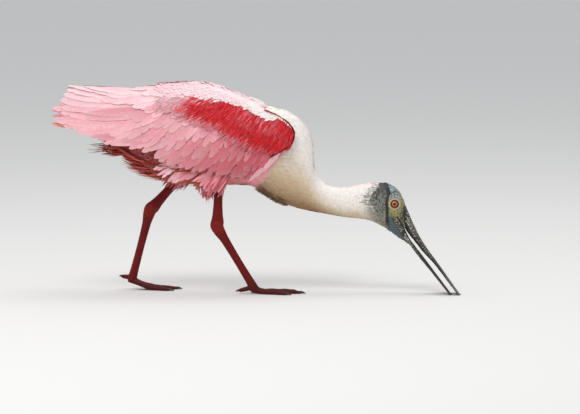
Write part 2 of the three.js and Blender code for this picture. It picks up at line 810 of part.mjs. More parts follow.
place("torso", solid(loft(torsoRings(0))), COLOURS.mantle);
const lowerNeck = body.rings(RIB.neck, RIB.nape, 0.43, { shift: GAP });
place("neck_lower", solid(loft(lowerNeck)), COLOURS.white);
const upperNeck = body.rings(RIB.nape, RIB.head, 0.5, { shift: GAP });
place("neck_upper", solid(loft(upperNeck)), COLOURS.white);
place("head", head(), COLOURS.skin, 0.6);
const nostrils = join([solid(nostril(1)), solid(nostril(-1))]);
const upperBill = billHalf(new Ribs(UPPER_BILL), UPPER_BILL.length - 1).subtract(nostrils);
place("bill_upper", upperBill, COLOURS.horn, 0.5);
place("bill_lower", billHalf(new Ribs(LOWER_BILL), LOWER_BILL.length - 1), COLOURS.horn, 0.5);
place("tail", tail(), COLOURS.salmon);
place("undertail_coverts", undertail(), COLOURS.undertail);
for (const [name, leg] of Object.entries(LEGS)) {
  place(`eye_${name}`, solid(ball(EYE_RADIUS, leg.side)), COLOURS.iris, 0.2);
  place(`wing_${name}`, wing(leg), COLOURS.pink);
  place(`thigh_${name}`, thigh(leg), COLOURS.pink);
  place(`tibia_${name}`, tibia(leg), COLOURS.leg, 0.6);
  place(`tarsus_${name}`, tarsus(leg), COLOURS.leg, 0.6);
  place(`foot_${name}`, foot(leg), COLOURS.leg, 0.6);
}

const box = new THREE.Box3().setFromObject(model);
const middle = box.getCenter(new THREE.Vector3());
model.position.set(-middle.x, -middle.y, -box.min.z);

export default model;
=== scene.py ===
import logging
import math
from dataclasses import dataclass
from enum import Enum
from typing import Callable

import bmesh
import bpy
import numpy as np
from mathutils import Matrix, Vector, noise
from mathutils.kdtree import KDTree

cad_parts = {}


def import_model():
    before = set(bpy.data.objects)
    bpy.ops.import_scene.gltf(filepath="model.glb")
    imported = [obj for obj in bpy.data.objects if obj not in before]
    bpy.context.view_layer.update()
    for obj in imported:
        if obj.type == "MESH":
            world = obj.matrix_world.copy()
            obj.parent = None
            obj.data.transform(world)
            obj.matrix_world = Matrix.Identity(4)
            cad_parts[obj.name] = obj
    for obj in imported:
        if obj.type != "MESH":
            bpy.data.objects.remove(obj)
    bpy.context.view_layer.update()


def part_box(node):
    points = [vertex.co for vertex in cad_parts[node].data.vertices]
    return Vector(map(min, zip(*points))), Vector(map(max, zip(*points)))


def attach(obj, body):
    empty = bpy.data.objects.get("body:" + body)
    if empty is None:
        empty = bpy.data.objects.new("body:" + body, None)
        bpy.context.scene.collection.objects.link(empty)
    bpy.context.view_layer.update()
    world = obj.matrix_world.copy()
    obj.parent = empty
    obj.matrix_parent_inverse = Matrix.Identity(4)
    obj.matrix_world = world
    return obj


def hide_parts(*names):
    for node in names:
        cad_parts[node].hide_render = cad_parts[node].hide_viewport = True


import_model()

LOG = logging.getLogger("spoonbill")
Array = np.ndarray
Rng = np.random.Generator
MM = 0.001
BAKE_PATCH = 0.003

# Places are in millimetres: x from tail to bill, y to the bird's left, z up. The neck,
# head and bill are laid out straight ahead here and swung aside afterwards.
# Ribs from the tail: upper x and z, lower x and z, half width.
RIBS = (
    (-229, 273, -235, 247, 16), (-200, 298, -203, 221, 34), (-168, 314, -168, 189, 47),
    (-128, 328, -128, 179, 56), (-88, 332, -80, 174, 61), (-48, 323, -37, 174, 62),
    (-8, 307, -8, 172, 60), (27, 297, 11, 162, 55), (56, 288, 32, 149, 47),
    (80, 268, 51, 141, 39), (93, 236, 74, 134, 32), (98, 193, 101, 128.5, 26),
    (117, 171.5, 123, 124.5, 22), (144, 168.5, 149, 120.5, 20), (171, 174, 171, 118.5, 20.5),
    (193.5, 176, 187, 115, 20.5), (212, 175.5, 200, 109, 20), (227, 167, 213, 101, 18.5),
    (236.5, 152, 225.5, 92, 15.5), (240, 141, 238, 83, 12.5),
)
UPPER_BILL = (
    (241, 140, 238.9, 106, 12.3), (247, 125.5, 244.8, 96, 11), (254, 109.5, 249.6, 90, 9.8),
    (263, 91.5, 256.2, 82, 8.8), (275.5, 72, 268.6, 66.5, 8.4), (289.6, 52.8, 285, 49.2, 10),
    (300.5, 37.8, 296.8, 34.6, 15.5), (310.4, 24, 307, 21.2, 22),
    (319.2, 11.6, 316.2, 9.2, 24.5), (324.6, 4, 321.8, 1.6, 21.5), (328.4, -1.6, 326, -3.6, 14),
)
LOWER_BILL = (
    (238.9, 104.4, 238.6, 83.5, 11.6), (244.2, 93, 242.8, 80.6, 10), (252, 80.6, 247.8, 76.6, 8.6),
    (262, 68, 257.6, 64, 7.9), (275.5, 50.4, 271.4, 46.8, 9.6), (285.4, 37.4, 281.8, 34.4, 14.8),
    (294.8, 25, 291.6, 22.3, 21), (303.4, 13.6, 300.6, 11.2, 23.4),
    (309.4, 5.7, 306.8, 3.4, 20.6), (314.8, -1.4, 312.6, -3.4, 13.4),
)
# The folded wing from the wrist: x, height, half height, half width, upper and lower edge.
WING_RIBS = (
    (64, 244, 60, 47, 262, 246), (50, 243, 66, 55, 277, 229), (27, 242, 72, 60, 290, 216),
    (-8, 246, 74, 66, 311, 208), (-48, 250, 81, 69, 326, 204), (-88, 253, 84, 68, 334, 206),
    (-128, 254, 82, 63, 333, 213), (-168, 252, 80, 56, 329, 226), (-200, 250, 79, 50, 325, 238),
    (-235, 248, 80, 44, 320, 252), (-270, 246, 82, 38, 306, 254), (-326, 246, 84, 31, 300, 262),
)
WING_TOP, WING_LOW = 3, 4
WING_SQUARE = 1.1
WRIST_LINE = (
    (14, 295), (30, 289), (46, 280), (58, 268), (62, 256), (57, 242), (42, 231), (24, 222),
)
PATCH_X = (-122, -99, -48, -27, 11, 32, 56, 66)
PATCH_TOP = (316, 319, 314, 309, 301, 289, 274, 263)
PATCH_LOW = (298, 290, 272, 257, 243, 235, 238, 244)
HOOD_Z = (108, 114, 128, 138, 149, 159, 172, 180)
HOOD_X = (208, 203, 194, 187, 181, 185, 196, 201)
RIM_Z = (105, 116, 137, 149, 160, 176)
RIM_X = (212, 211, 211, 209.5, 213.5, 209)
EYE = (222.7, 12.6, 143.8)
EYE_RADIUS = 7.0
EAR = (192, 143)
NOSTRIL = (248, 121, 5.4)
NOSTRIL_SLOPE = (0.9, 0.44)
MOUTH = np.array([226.9, 122.7])
MOUTH_LINE = np.array([16.6, -26.7])
JAW_ALONG, JAW_OUT = np.array([0.53, -0.848]), np.array([0.848, 0.53])
SWING_FROM, SWING_RUN, SWING_ASIDE = 80, 246, 38
BODY_SQUARE, BILL_SQUARE = 2.2, 2.0
FLOOR_GAP = 0.05
STEP = 0.02  # how far apart a surface is read for its direction
DOWN, UP = np.array([0, 0, -1.0]), np.array([0.0, 0, 1])
SEEDS = {
    "coat": 5, "undertail": 31, "rump": 37, "flank": 41, "thighs": 43, "far_strands": 47,
    "bumps": 51, "lobes": 53, "apron": 57, "wing_right": 61, "wing_left": 71,
}


def rgb(code: int) -> Array:
    """A display colour such as 0xE6C0C4 as linear light."""
    parts = np.array([(code >> 16) & 255, (code >> 8) & 255, code & 255]) / 255
    return np.where(parts <= 0.04045, parts / 12.92, ((parts + 0.055) / 1.055) ** 2.4)


def smooth(low: Array | float, high: Array | float, value: Array | float) -> Array:
    """0 below low, 1 above high and a soft step between."""
    t = np.clip((value - low) / (high - low), 0, 1)
    return t * t * (3 - 2 * t)


def bell(value: Array, width: float) -> Array:
    """1 at nought, falling off on both sides."""
    return np.exp(-((value / width) ** 2))


def blend(a: Array, b: Array, t: Array) -> Array:
    """Rows of a moved towards b by the share t of each row."""
    return a + (b - a) * t[..., None]


def layered(base: Array, *layers: tuple[Array, Array]) -> Array:
    """A colour with others laid over it, each by its own share.

    Args:
        base: The colour underneath.
        *layers: The colours over it, with their shares.

    Returns:
        The colour that is seen.
    """
    for colour, share in layers:
        base = blend(base, colour, share)
    return base


def unit(v: Array) -> Array:
    """Rows of v at length one."""
    return v / np.maximum(np.linalg.norm(v, axis=-1, keepdims=True), 1e-9)


def dot(a: Array, b: Array) -> Array:
    """Row by row scalar product, kept as a column."""
    return np.sum(a * b, axis=-1, keepdims=True)


def table(*columns: Array | float) -> Array:
    """Arrays and numbers side by side, the numbers repeated in every row."""
    return np.stack(np.broadcast_arrays(*columns), axis=-1)


def turns(count: int) -> Array:
    """Angles spread evenly round a full turn."""
    return np.arange(count) / count * 2 * math.pi


def catmull(values: Array, at: Array) -> Array:
    """Rows of values read at fractional places on a smooth curve.

    Args:
        values: The rows of values.
        at: Fractional places among the rows.

    Returns:
        One row of values a place.
    """
    last = len(values) - 1
    i = np.clip(np.floor(at).astype(int), 0, last - 1)
    w = (at - i)[..., None]
    p0, p1 = values[np.maximum(i - 1, 0)], values[i]
    p2, p3 = values[i + 1], values[np.minimum(i + 2, last)]
    v0, v1, rise = (p2 - p0) / 2, (p3 - p1) / 2, p2 - p1
    return p1 + w * (v0 + w * (3 * rise - 2 * v0 - v1 + w * (v0 + v1 - 2 * rise)))


def swing(p: Array) -> Array:
    """Points of the neck, head and bill turned to the bird's right.

    Args:
        p: Points, in mm.

    Returns:
        The turned points.
    """
    share = np.clip((p[..., 0] - SWING_FROM) / SWING_RUN, 0, None)
    q = p.copy()
    q[..., 1] -= SWING_ASIDE * share**2
    return q


def grain(p: Array, size: float, seed: float) -> Array:
    """Soft random field from -1 to 1 over points in millimetres."""
    made = np.array([noise.noise(Vector(q)) for q in p.reshape(-1, 3) / size + seed])
    return made.reshape(p.shape[:-1])


def design_offset() -> Array:
    """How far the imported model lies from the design's own origin, in metres.

    Returns:
        The distances along x, y and z.
    """
    low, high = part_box("eye_right")
    nominal = swing(np.array([[EYE[0], -EYE[1], EYE[2]]]))[0]
    return (np.array(low) + np.array(high)) / 2 - nominal * MM


OFFSET = design_offset()


def world(p: Array) -> Array:
    """Design points in millimetres as places in the frame, in metres."""
    return p * MM + OFFSET


class Ribs:
    """A body given by ribs: upper point, lower point and half width of each."""

    def __init__(self, rows: tuple) -> None:
        """Keeps the ribs: upper x and z, lower x and z, and half width of each."""
        self.rows = np.array(rows, float)
        self.last = len(rows) - 1

    def at(
        self, station: Array, angle: Array, grow: Array | float = 0.0,
        power: Array | float = BODY_SQUARE,
    ) -> Array:
        """Points of the surface before the head is swung aside.

        Args:
            station: place along the ribs, from 0 to the last one's index.
            angle: from the top towards the bird's left.
            grow: distance outwards.
            power: squareness of the section.

        Returns:
            Points in millimetres.
        """
        r = catmull(self.rows, station)
        middle = (r[..., 0:2] + r[..., 2:4]) / 2
        up = r[..., 0:2] - middle
        reach = np.linalg.norm(up, axis=-1)
        up = up * ((reach + grow) / reach)[..., None]
        c = np.sign(np.cos(angle)) * np.abs(np.cos(angle)) ** (2 / power)
        s = np.sign(np.sin(angle)) * np.abs(np.sin(angle)) ** (2 / power)
        side = middle + up * c[..., None]
        return table(side[..., 0], (r[..., 4] + grow) * s, side[..., 1])

    def find(self, x: Array, z: Array) -> tuple[Array, Array]:
        """Stations and angles of the left side's points nearest to x and z.

        Args:
            x: Places along the bird, in mm.
            z: Heights, in mm.

        Returns:
            The stations and the angles.
        """
        s, a = np.meshgrid(
            np.linspace(0, self.last, 400), np.linspace(0.05, math.pi - 0.05, 90), indexing="ij"
        )
        p = self.at(s, a)
        best = [np.argmin((p[..., 0] - i) ** 2 + (p[..., 2] - k) ** 2) for i, k in zip(x, z)]
        return s.ravel()[best], a.ravel()[best]

    def normal(self, station: Array, angle: Array) -> Array:
        """Outward directions of the surface.

        Args:
            station: Places along the ribs.
            angle: Angles round the ribs.

        Returns:
            One direction a place.
        """
        station = np.clip(station, STEP, self.last - STEP)
        along = self.at(station + STEP, angle) - self.at(station - STEP, angle)
        around = self.at(station, angle + STEP) - self.at(station, angle - STEP)
        return unit(np.cross(along, around))


class WingSurface:
    """The folded wing's outer surface over x and an angle from the back's top."""

    rows = np.array(WING_RIBS, float)

    def read(self, x: Array) -> Array:
        """Height, half height, half width and the edges' heights at x."""
        place = np.interp(-x, -self.rows[:, 0], np.arange(len(self.rows)))
        return catmull(self.rows, place)[..., 1:]

    def angle_at(self, x: Array, z: Array) -> Array:
        """The angle whose point at x has height z.

        Args:
            x: Places along the bird, in mm.
            z: Heights, in mm.

        Returns:
            One angle a place.
        """
        r = self.read(x)
        c = np.clip((z - r[..., 0]) / r[..., 1], -0.995, 0.995)
        return np.arccos(np.sign(c) * np.abs(c) ** WING_SQUARE)

    def flat(self, x: Array, angle: Array) -> Array:
        """Points of the left wing's surface.

        Args:
            x: Places along the bird, in mm.
            angle: Angles round the wing.

        Returns:
            The points, in mm.
        """
        r = self.read(x)
        c = np.cos(angle)
        y = r[..., 2] * np.abs(np.sin(angle)) ** (1 / WING_SQUARE)
        return table(x, y, r[..., 0] + r[..., 1] * np.sign(c) * np.abs(c) ** (1 / WING_SQUARE))

    def normal(self, x: Array, angle: Array) -> Array:
        """Outward directions on the left wing."""
        along = self.flat(x + 1, angle) - self.flat(x - 1, angle)
        return unit(np.cross(along, self.flat(x, angle + STEP) - self.flat(x, angle - STEP)))

    def point(self, x: Array, angle: Array, lift: Array | float, side: int) -> Array:
        """Points at a height over either wing, side +1 being the left."""
        p = self.flat(x, angle) + self.normal(x, angle) * np.atleast_1d(lift)[..., None]
        return p * np.array([1, side, 1])


BODY = Ribs(RIBS)
WING = WingSurface()


class Palette:
    """The plumage's and skin's colours, in linear light."""

    WHITE = rgb(0xF6F1EA)
    # The next three browns tint the undersides of neck and breast: partly a real buff stain, partly
    # painted shade.
    CREAM = rgb(0xD3B98F)
    EARTH = rgb(0x8A6238)
    SOIL = rgb(0x6A4428)
    BLUSH = rgb(0xFBE4E6)
    PALE_PINK = rgb(0xF9C6CD)
    PINK = rgb(0xF19AA5)
    ROSE = rgb(0xCE5866)
    CORAL = rgb(0xDB7364)
    CARMINE = rgb(0xDC040C)
    WINE = rgb(0x8C1C16)
    RUSSET = rgb(0xB9573A)
    SALMON = rgb(0xF2906C)
    SOOT = rgb(0x1D1F1D)
    SLATE = rgb(0x77786F)
    ASH = rgb(0xA9A698)
    DUN = rgb(0x8D8572)
    OLIVE = rgb(0x8A8355)
    MOSS = rgb(0xA8A17A)
    LICHEN = rgb(0x8C9284)
    ICE = rgb(0x889C9C)
    TEAL = rgb(0x46585A)
    LID = rgb(0xC4B095)
    CHIN = rgb(0x8C8473)
    THROAT = rgb(0x8F8570)
    HORN = rgb(0x2A2925)
    HORN_RIM = rgb(0x8C8A78)
    SPOON = rgb(0x77705C)
    BUMP = rgb(0xBDB9A6)
    BUMP_DARK = rgb(0x6A675B)
    BEAD = rgb(0xB3AE98)
    BEAD_DARK = rgb(0x66634F)
    LEG = rgb(0x6C0B07)
    FOOT = rgb(0x3A1210)
    KNEE = rgb(0x8A2015)
    CLAW = rgb(0x2B2420)
    IRIS = rgb(0xCB6A2C)
    IRIS_RIM = rgb(0x9A3E1B)
    PUPIL = rgb(0x050404)
    SCLERA = rgb(0x120C0A)


class Markings:
    """Where the colours lie, read alike by the skin and by every feather."""

    @staticmethod
    def patch(x: Array, z: Array) -> Array:
        """How far a place on the wing is inside the carmine shoulder patch.

        Args:
            x: Places along the bird, in mm.
            z: Heights, in mm.

        Returns:
            One distance a place.
        """
        top, low = np.interp(x, PATCH_X, PATCH_TOP), np.interp(x, PATCH_X, PATCH_LOW)
        inside = smooth(top + 3, top - 4, z) * smooth(low - 9, low + 7, z)
        return inside * smooth(-122, -92, x)

    @staticmethod
    def wing(x: Array, z: Array) -> Array:
        """Colour of the wing at a place seen from the side.

        Args:
            x: Places along the bird, in mm.
            z: Heights, in mm.

        Returns:
            One colour a place.
        """
        low = np.clip((296 - z) / 90, 0, 1)
        front = smooth(-230, 10, x)
        top = np.interp(x, PATCH_X, PATCH_TOP)
        pale = smooth(top - 2, top + 7, z) * smooth(-200, -90, x)
        return layered(
            Palette.PALE_PINK,
            (Palette.PINK, 0.2 + low * 0.8 * front),
            (Palette.ROSE, smooth(0.2, 0.9, low) * front * 0.9),
            (Palette.BLUSH, np.maximum(pale, smooth(300, 326, z) * 0.75)),
            (Palette.SALMON, smooth(-265, -335, x) * 0.35),
            (Palette.CARMINE, Markings.patch(x, z)),
        )

    @staticmethod
    def body(p: Array, angle: Array) -> Array:
        """Colour of the torso and neck, p being places before the swing; undersides partly stain,
        partly painted shade.

        Args:
            p: Places before the swing, in mm.
            angle: Angles round the body.

        Returns:
            One colour a place.
        """
        x, z, turn = p[..., 0], p[..., 2], np.abs(angle)
        line = x - 0.7 * (z - 163)
        front = smooth(-8, 5, line) * smooth(150, 85, x)
        neck = smooth(60, 90, x) * smooth(205, 160, x)
        return layered(
            Palette.WHITE,
            (Palette.BLUSH, smooth(40, -40, x)),
            # Undersides of breast and neck, cream to earth: partly a real buff stain, partly
            # painted shade.
            (Palette.CREAM, smooth(1.1, 2.0, turn) * 0.85 * front),
            (Palette.CREAM, smooth(1.6, 2.6, turn) * 0.8 * neck),
            (Palette.EARTH, smooth(2.5, 3.1, turn) * 0.5 * neck),
            (Palette.EARTH, smooth(1.7, 2.8, turn) * 0.9 * front),
            (Palette.PINK, smooth(0.9, 1.5, turn) * smooth(8, -6, line)),
            (Palette.RUSSET, smooth(1.9, 2.5, turn) * smooth(20, -70, x) * 0.8),
            (Palette.WINE, smooth(1.35, 1.85, turn) * smooth(-90, -150, x)),
            (Palette.THROAT, smooth(168, 198, x) * smooth(152, 126, z) * 0.85),
            (Palette.PALE_PINK, smooth(0.9, 0.2, turn) * smooth(120, 165, x) * 0.35),
        )

    @staticmethod
    def breast(p: Array, angle: Array) -> Array:
        """Browner tint of the breast's ragged lower edge, darker towards the rear: partly real
        stain, partly painted shade.
        """
        return blend(Markings.body(p, angle), Palette.SOIL, 0.1 + 0.35 * smooth(80, 0, p[..., 0]))

    @staticmethod
    def cloak(x: Array, z: Array) -> Array:
        """White towards the neck and blushing towards the tail."""
        blush = (Palette.BLUSH, smooth(30, -30, x))
        return layered(Palette.WHITE, blush, (Palette.PALE_PINK, smooth(-60, -150, x) * 0.6))

    @staticmethod
    def wrist(x: Array, z: Array) -> Array:
        """The wrist's rim, dark as painted shadow along the wing's proud front edge, rusty at its
        top.
        """
        # Painted shadow: darkened wine where the wing's front edge stands proud of the breast.
        return blend(Palette.WINE * 0.55, Palette.RUSSET, smooth(266, 290, z) * 0.7)

    @staticmethod
    def hood_edge(p: Array) -> Array:
        """Millimetres past the edge of the feathers, onto the bare head."""
        ragged = 2.2 * grain(p, 5, 3.1) + 1.5 * grain(p, 2, 6.3)
        return p[..., 0] - np.interp(p[..., 2], HOOD_Z, HOOD_X) - ragged

    @staticmethod
    def coarse(p: Array) -> Array:
        """The blotches that the head's colours, rim and mottles share."""
        return grain(p, 4.5, 7.7)

    @staticmethod
    def head(p: Array) -> Array:
        """Colour of the bare head, p being places before the swing.

        Args:
            p: Places before the swing, in mm.

        Returns:
            One colour a place.
        """
        x, z, coarse = p[..., 0], p[..., 2], Markings.coarse(p)
        eye = np.hypot(x - EYE[0], z - EYE[2])
        brow = smooth(150, 156, z + 0.3 * (x - 222) + 2 * coarse)
        jaw, low = Markings.jaw(x, z)
        rim = Markings.rim(x, z, coarse)
        band = smooth(3.2, 1.8, np.abs(rim) - smooth(150, 165, z)) * smooth(104, 116, z)
        ear = layered(
            Palette.SLATE,
            (Palette.ASH, smooth(0.0, 0.4, coarse) * 0.6),
            (Palette.DUN, smooth(140, 120, z) * 0.7),
        )
        face = layered(
            Palette.OLIVE,
            (Palette.MOSS, smooth(0.05, 0.4, -coarse) * 0.5),
            (Palette.LICHEN, brow),
            (Palette.ICE, brow * smooth(230, 222, x) * smooth(-0.3, 0.1, coarse)),
            (Palette.LID, smooth(10.2, 8.4, eye) * 0.75),
            (Palette.SOOT, smooth(7.2, 6.5, eye)),
            (Palette.SOOT, smooth(-11, -8.5, jaw) * smooth(1.5, -0.5, jaw) * low * 0.92),
            (Palette.TEAL, smooth(-8.5, -10.5, jaw + 0.8 * coarse) * low),
            (Palette.SOOT, smooth(1.4, 0.7, Markings.gape(x, z))),
        )
        chin = smooth(124, 112, z) * smooth(212, 200, x) * 0.6
        over = (face, smooth(-0.8, 0.8, rim)), (Palette.SOOT * 0.6, band), (Palette.CHIN, chin)
        return layered(ear, *over)

    @staticmethod
    def jaw(x: Array, z: Array) -> tuple[Array, Array]:
        """Distance past the mouth's line, and how far a place is below the cheek."""
        past = (x - MOUTH[0]) * JAW_OUT[0] + (z - MOUTH[1]) * JAW_OUT[1]
        return past, smooth(130, 121, z + 0.35 * (x - 215))

    @staticmethod
    def gape(x: Array, z: Array) -> Array:
        """Distance from the mouth's line.

        Args:
            x: Places along the bird, in mm.
            z: Heights, in mm.

        Returns:
            One distance a place.
        """
        q = table(x, z) - MOUTH
        t = np.clip(q @ MOUTH_LINE / (MOUTH_LINE @ MOUTH_LINE), 0, 1)
        return np.linalg.norm(q - t[..., None] * MOUTH_LINE, axis=-1)

    @staticmethod
    def rim(x: Array, z: Array, coarse: Array) -> Array:
        """Distance before the black band behind the face."""
        return x - np.interp(z, RIM_Z, RIM_X) - 1.6 * coarse

    @staticmethod
    def mottle(p: Array) -> Array:
        """Share of a place that dark mottles cover, from 0 to 1.

        Args:
            p: Places before the swing, in mm.

        Returns:
            One share a place.
        """
        x, z, coarse = p[..., 0], p[..., 2], Markings.coarse(p)
        behind = smooth(1, -1, Markings.rim(x, z, coarse))
        ear = 0.34 + 0.36 * smooth(150, 170, z) + 0.5 * np.maximum(coarse, 0)
        ear = ear - 0.12 * smooth(130, 115, z)
        jaw, low = Markings.jaw(x, z)
        face = 0.27 + 0.14 * smooth(150, 158, z + 0.3 * (x - 222))
        face = face + 0.42 * smooth(9, 1, (238 - x) + 0.42 * (z - 130)) * smooth(158, 146, z)
        face = face * (1 - low * smooth(-6, -10, jaw) * 0.8)
        near = smooth(8, 10, np.hypot(x - EYE[0], z - EYE[2]))
        bare = smooth(-1, 2, Markings.hood_edge(p))
        return np.clip((behind * ear + (1 - behind) * face * near) * bare, 0, 0.8)


def lofted(rings: Array) -> tuple[Array, list[tuple]]:
    """A closed surface through rings, with a fan over each end.

    Args:
        rings: The rings of points, in order.

    Returns:
        The points and the faces.
    """
    rows, columns = rings.shape[:2]
    points = np.vstack([rings.reshape(-1, 3), rings[0].mean(0), rings[-1].mean(0)])
    faces, fans, base = [], [], (rows - 1) * columns
    for j in range(columns):
        k = (j + 1) % columns
        fans += [(base + columns, k, j), (base + columns + 1, base + j, base + k)]
    for i in range(0, base, columns):
        for j in range(columns):
            k = (j + 1) % columns
            faces.append((i + j, i + k, i + columns + k, i + columns + j))
    return points, faces + fans


def capped(values: Array) -> Array:
    """Values over a loft's grid as rows, with one more for each end's middle."""
    flat = values.reshape(-1, values.shape[-1])
    return np.vstack([flat, flat[:1], flat[-1:]])


def merged(shapes: list[tuple]) -> tuple[Array, list[tuple]]:
    """Several surfaces as the points and the faces of one.

    Args:
        shapes: The points and faces of each surface.

    Returns:
        The points and the faces of them all.
    """
    points, faces, base = [], [], 0
    for made, quads in shapes:
        points.append(made)
        faces += [tuple(base + k for k in quad) for quad in quads]
        base += len(made)
    return np.vstack(points), faces


def placed(name: str, data: object) -> bpy.types.Object:
    """A new object of the scene that shows the data.

    Args:
        name: The object's name.
        data: What it shows.

    Returns:
        The object.
    """
    made = bpy.data.objects.new(name, data)
    bpy.context.scene.collection.objects.link(made)
    return made


def mesh_object(name: str, points: Array, faces: list[tuple]) -> bpy.types.Object:
    """A new object from points in metres, with its normals outwards.

    Args:
        name: The object's name.
        points: Its points, in metres.
        faces: Its faces, as places in points.

    Returns:
        The object.
    """
    mesh = bpy.data.meshes.new(name)
    mesh.from_pydata(points.tolist(), [], faces)
    mesh.validate()
    turn_out(mesh)
    return placed(name, mesh)


def settled(source: bpy.types.Object, name: str) -> bpy.types.Object:
    """A plain object in the shape that the source's modifiers give; the source goes.

    Args:
        source: The object with the modifiers.
        name: The new object's name.

    Returns:
        The new object.
    """
    bpy.context.view_layer.update()
    graph = bpy.context.evaluated_depsgraph_get()
    mesh = bpy.data.meshes.new_from_object(
        source.evaluated_get(graph), preserve_all_data_layers=True, depsgraph=graph
    )
    mesh.name = name
    bpy.data.objects.remove(source)
    return placed(name, mesh)


def turn_out(mesh: bpy.types.Mesh) -> None:
    """Makes the faces of a closed mesh face outwards and look smooth.

    Args:
        mesh: The mesh to change.
    """
    work = bmesh.new()
    work.from_mesh(mesh)
    bmesh.ops.recalc_face_normals(work, faces=work.faces)
    work.to_mesh(mesh)
    work.free()
    mesh.shade_smooth()


def store(mesh: bpy.types.Mesh, **values: Array) -> None:
    """Keeps a number or a vector a vertex under each name, and a colour as tint.

    Args:
        mesh: The mesh to change.
        **values: What is kept, by name, one row a vertex.
    """
    for name, rows in values.items():
        rows = np.asarray(rows, np.float32).reshape(len(mesh.vertices), -1)
        kind, key = ("FLOAT", "value") if rows.shape[1] == 1 else ("FLOAT_VECTOR", "vector")
        if name == "tint":
            kind, key = "FLOAT_COLOR", "color"
            rows = np.concatenate([rows, np.ones((len(rows), 1), np.float32)], axis=1)
        mesh.attributes.new(name, kind, "POINT").data.foreach_set(key, rows.ravel())


def stored(mesh: bpy.types.Mesh, name: str) -> Array:
    """The vectors that a mesh keeps under a name.

    Args:
        mesh: The mesh to read.
        name: The name they are kept under.

    Returns:
        One vector a vertex.
    """
    rows = np.empty(len(mesh.vertices) * 3, np.float32)
    mesh.attributes[name].data.foreach_get("vector", rows)
    return rows.reshape(-1, 3)


def set_uv(mesh: bpy.types.Mesh, per_vertex: Array) -> None:
    """Gives the mesh its baking map from one place a vertex.

    Args:
        mesh: The mesh to change.
        per_vertex: One place in the map a vertex.
    """
    corners = np.empty(len(mesh.loops), np.int32)
    mesh.loops.foreach_get("vertex_index", corners)
    layer = mesh.uv_layers.new(name="OFBake")
    layer.data.foreach_set("uv", per_vertex[corners].astype(np.float32).ravel())


class Nodes:
    """Short calls for wiring a node tree."""

    def __init__(self, tree: bpy.types.NodeTree) -> None:
        """Works on the tree given."""
        self.tree = tree

    def add(self, kind: str, **settings: object) -> bpy.types.Node:
        """A new node with its settings.

        Args:
            kind: The node's type.
            **settings: Its properties, by name.

        Returns:
            The node.
        """
        node = self.tree.nodes.new(kind)
        for key, value in settings.items():
            setattr(node, key, value)
        return node

    def link(self, source: object, target: object) -> None:
        """Joins an output to an input, or sets the input's value.

        Args:
            source: An output, or a value.
            target: The input.
        """
        if isinstance(source, bpy.types.NodeSocket):
            self.tree.links.new(source, target)
        else:
            target.default_value = source

    def feed(self, node: bpy.types.Node, values: dict) -> bpy.types.Node:
        """Fills a node's inputs, by name or place, and returns the node.

        Args:
            node: The node to fill.
            values: Outputs or values for its inputs.

        Returns:
            The same node.
        """
        for key, value in values.items():
            self.link(value, node.inputs[key])
        return node

    def math(self, operation: str, *parts: object) -> object:
        """The output of a number operation."""
        node = self.add("ShaderNodeMath", operation=operation)
        return self.feed(node, dict(enumerate(parts))).outputs[0]

    def times(self, first: object, *others: object) -> object:
        """A product of numbers.

        Args:
            first: The first number.
            *others: The numbers that multiply it.

        Returns:
            The product's output.
        """
        for other in others:
            first = self.math("MULTIPLY", first, other)
        return first

    def line(self, value: object, slope: object, start: object) -> object:
        """A value times a slope, plus a start."""
        return self.math("MULTIPLY_ADD", value, slope, start)

    def vector(self, operation: str, *parts: object) -> object:
        """The output of a vector operation.

        Args:
            operation: The operation's name.
            *parts: Its inputs, in order.

        Returns:
            The result's output.
        """
        node = self.add("ShaderNodeVectorMath", operation=operation)
        keys = (0, "Scale") if operation == "SCALE" else (0, 1)
        return self.feed(node, dict(zip(keys, parts))).outputs[0]

    def mix_vector(self, factor: object, a: object, b: object) -> object:
        """A vector between two others."""
        node = self.add("ShaderNodeMix", data_type="VECTOR")
        return self.feed(node, {0: factor, 4: a, 5: b}).outputs[1]

    def mix_colour(self, factor: object, a: object, b: object, how: str = "MIX") -> object:
        """A colour between two others."""
        node = self.add("ShaderNodeMix", data_type="RGBA", blend_type=how)
        return self.feed(node, {0: factor, 6: a, 7: b}).outputs[2]

    def attribute(self, name: str, output: str = "Fac") -> object:
        """One of the mesh's own values."""
        return self.add("ShaderNodeAttribute", attribute_name=name).outputs[output]

    def noise(self, scale: float, detail: float = 3.0) -> object:
        """A soft random field over the object.

        Args:
            scale: How fine the field is.
            detail: How many finer layers it has.

        Returns:
            The field's output.
        """
        where = self.add("ShaderNodeTexCoord").outputs["Object"]
        node = self.add("ShaderNodeTexNoise")
        return self.feed(node, {"Scale": scale, "Detail": detail, "Vector": where}).outputs[0]

    def bump(self, height: object, strength: float, depth: float) -> object:
        """A normal from a height field."""
        values = {"Strength": strength, "Distance": depth, "Height": height}
        return self.feed(self.add("ShaderNodeBump"), values).outputs[0]


@dataclass(frozen=True)
class Finish:
    """A procedural material; each finish below adds its own detail."""

    name: str = "plain"
    roughness: float = 0.7

    def make(self) -> bpy.types.Material:
        """The material, built once.

        Returns:
            The material.
        """
        title = self.name + "_finish"
        if title in bpy.data.materials:
            return bpy.data.materials[title]
        material = bpy.data.materials.new(title)
        material.use_nodes = True
        n = Nodes(material.node_tree)
        shader = n.tree.nodes["Principled BSDF"]
        values = self.wire(n, n.attribute("tint", "Color"))
        n.feed(shader, {"Roughness": self.roughness, **values})
        return material

    def wire(self, n: Nodes, tint: object) -> dict:
        """What the finish feeds to the shader, from the stored tint."""
        return {"Base Color": tint}


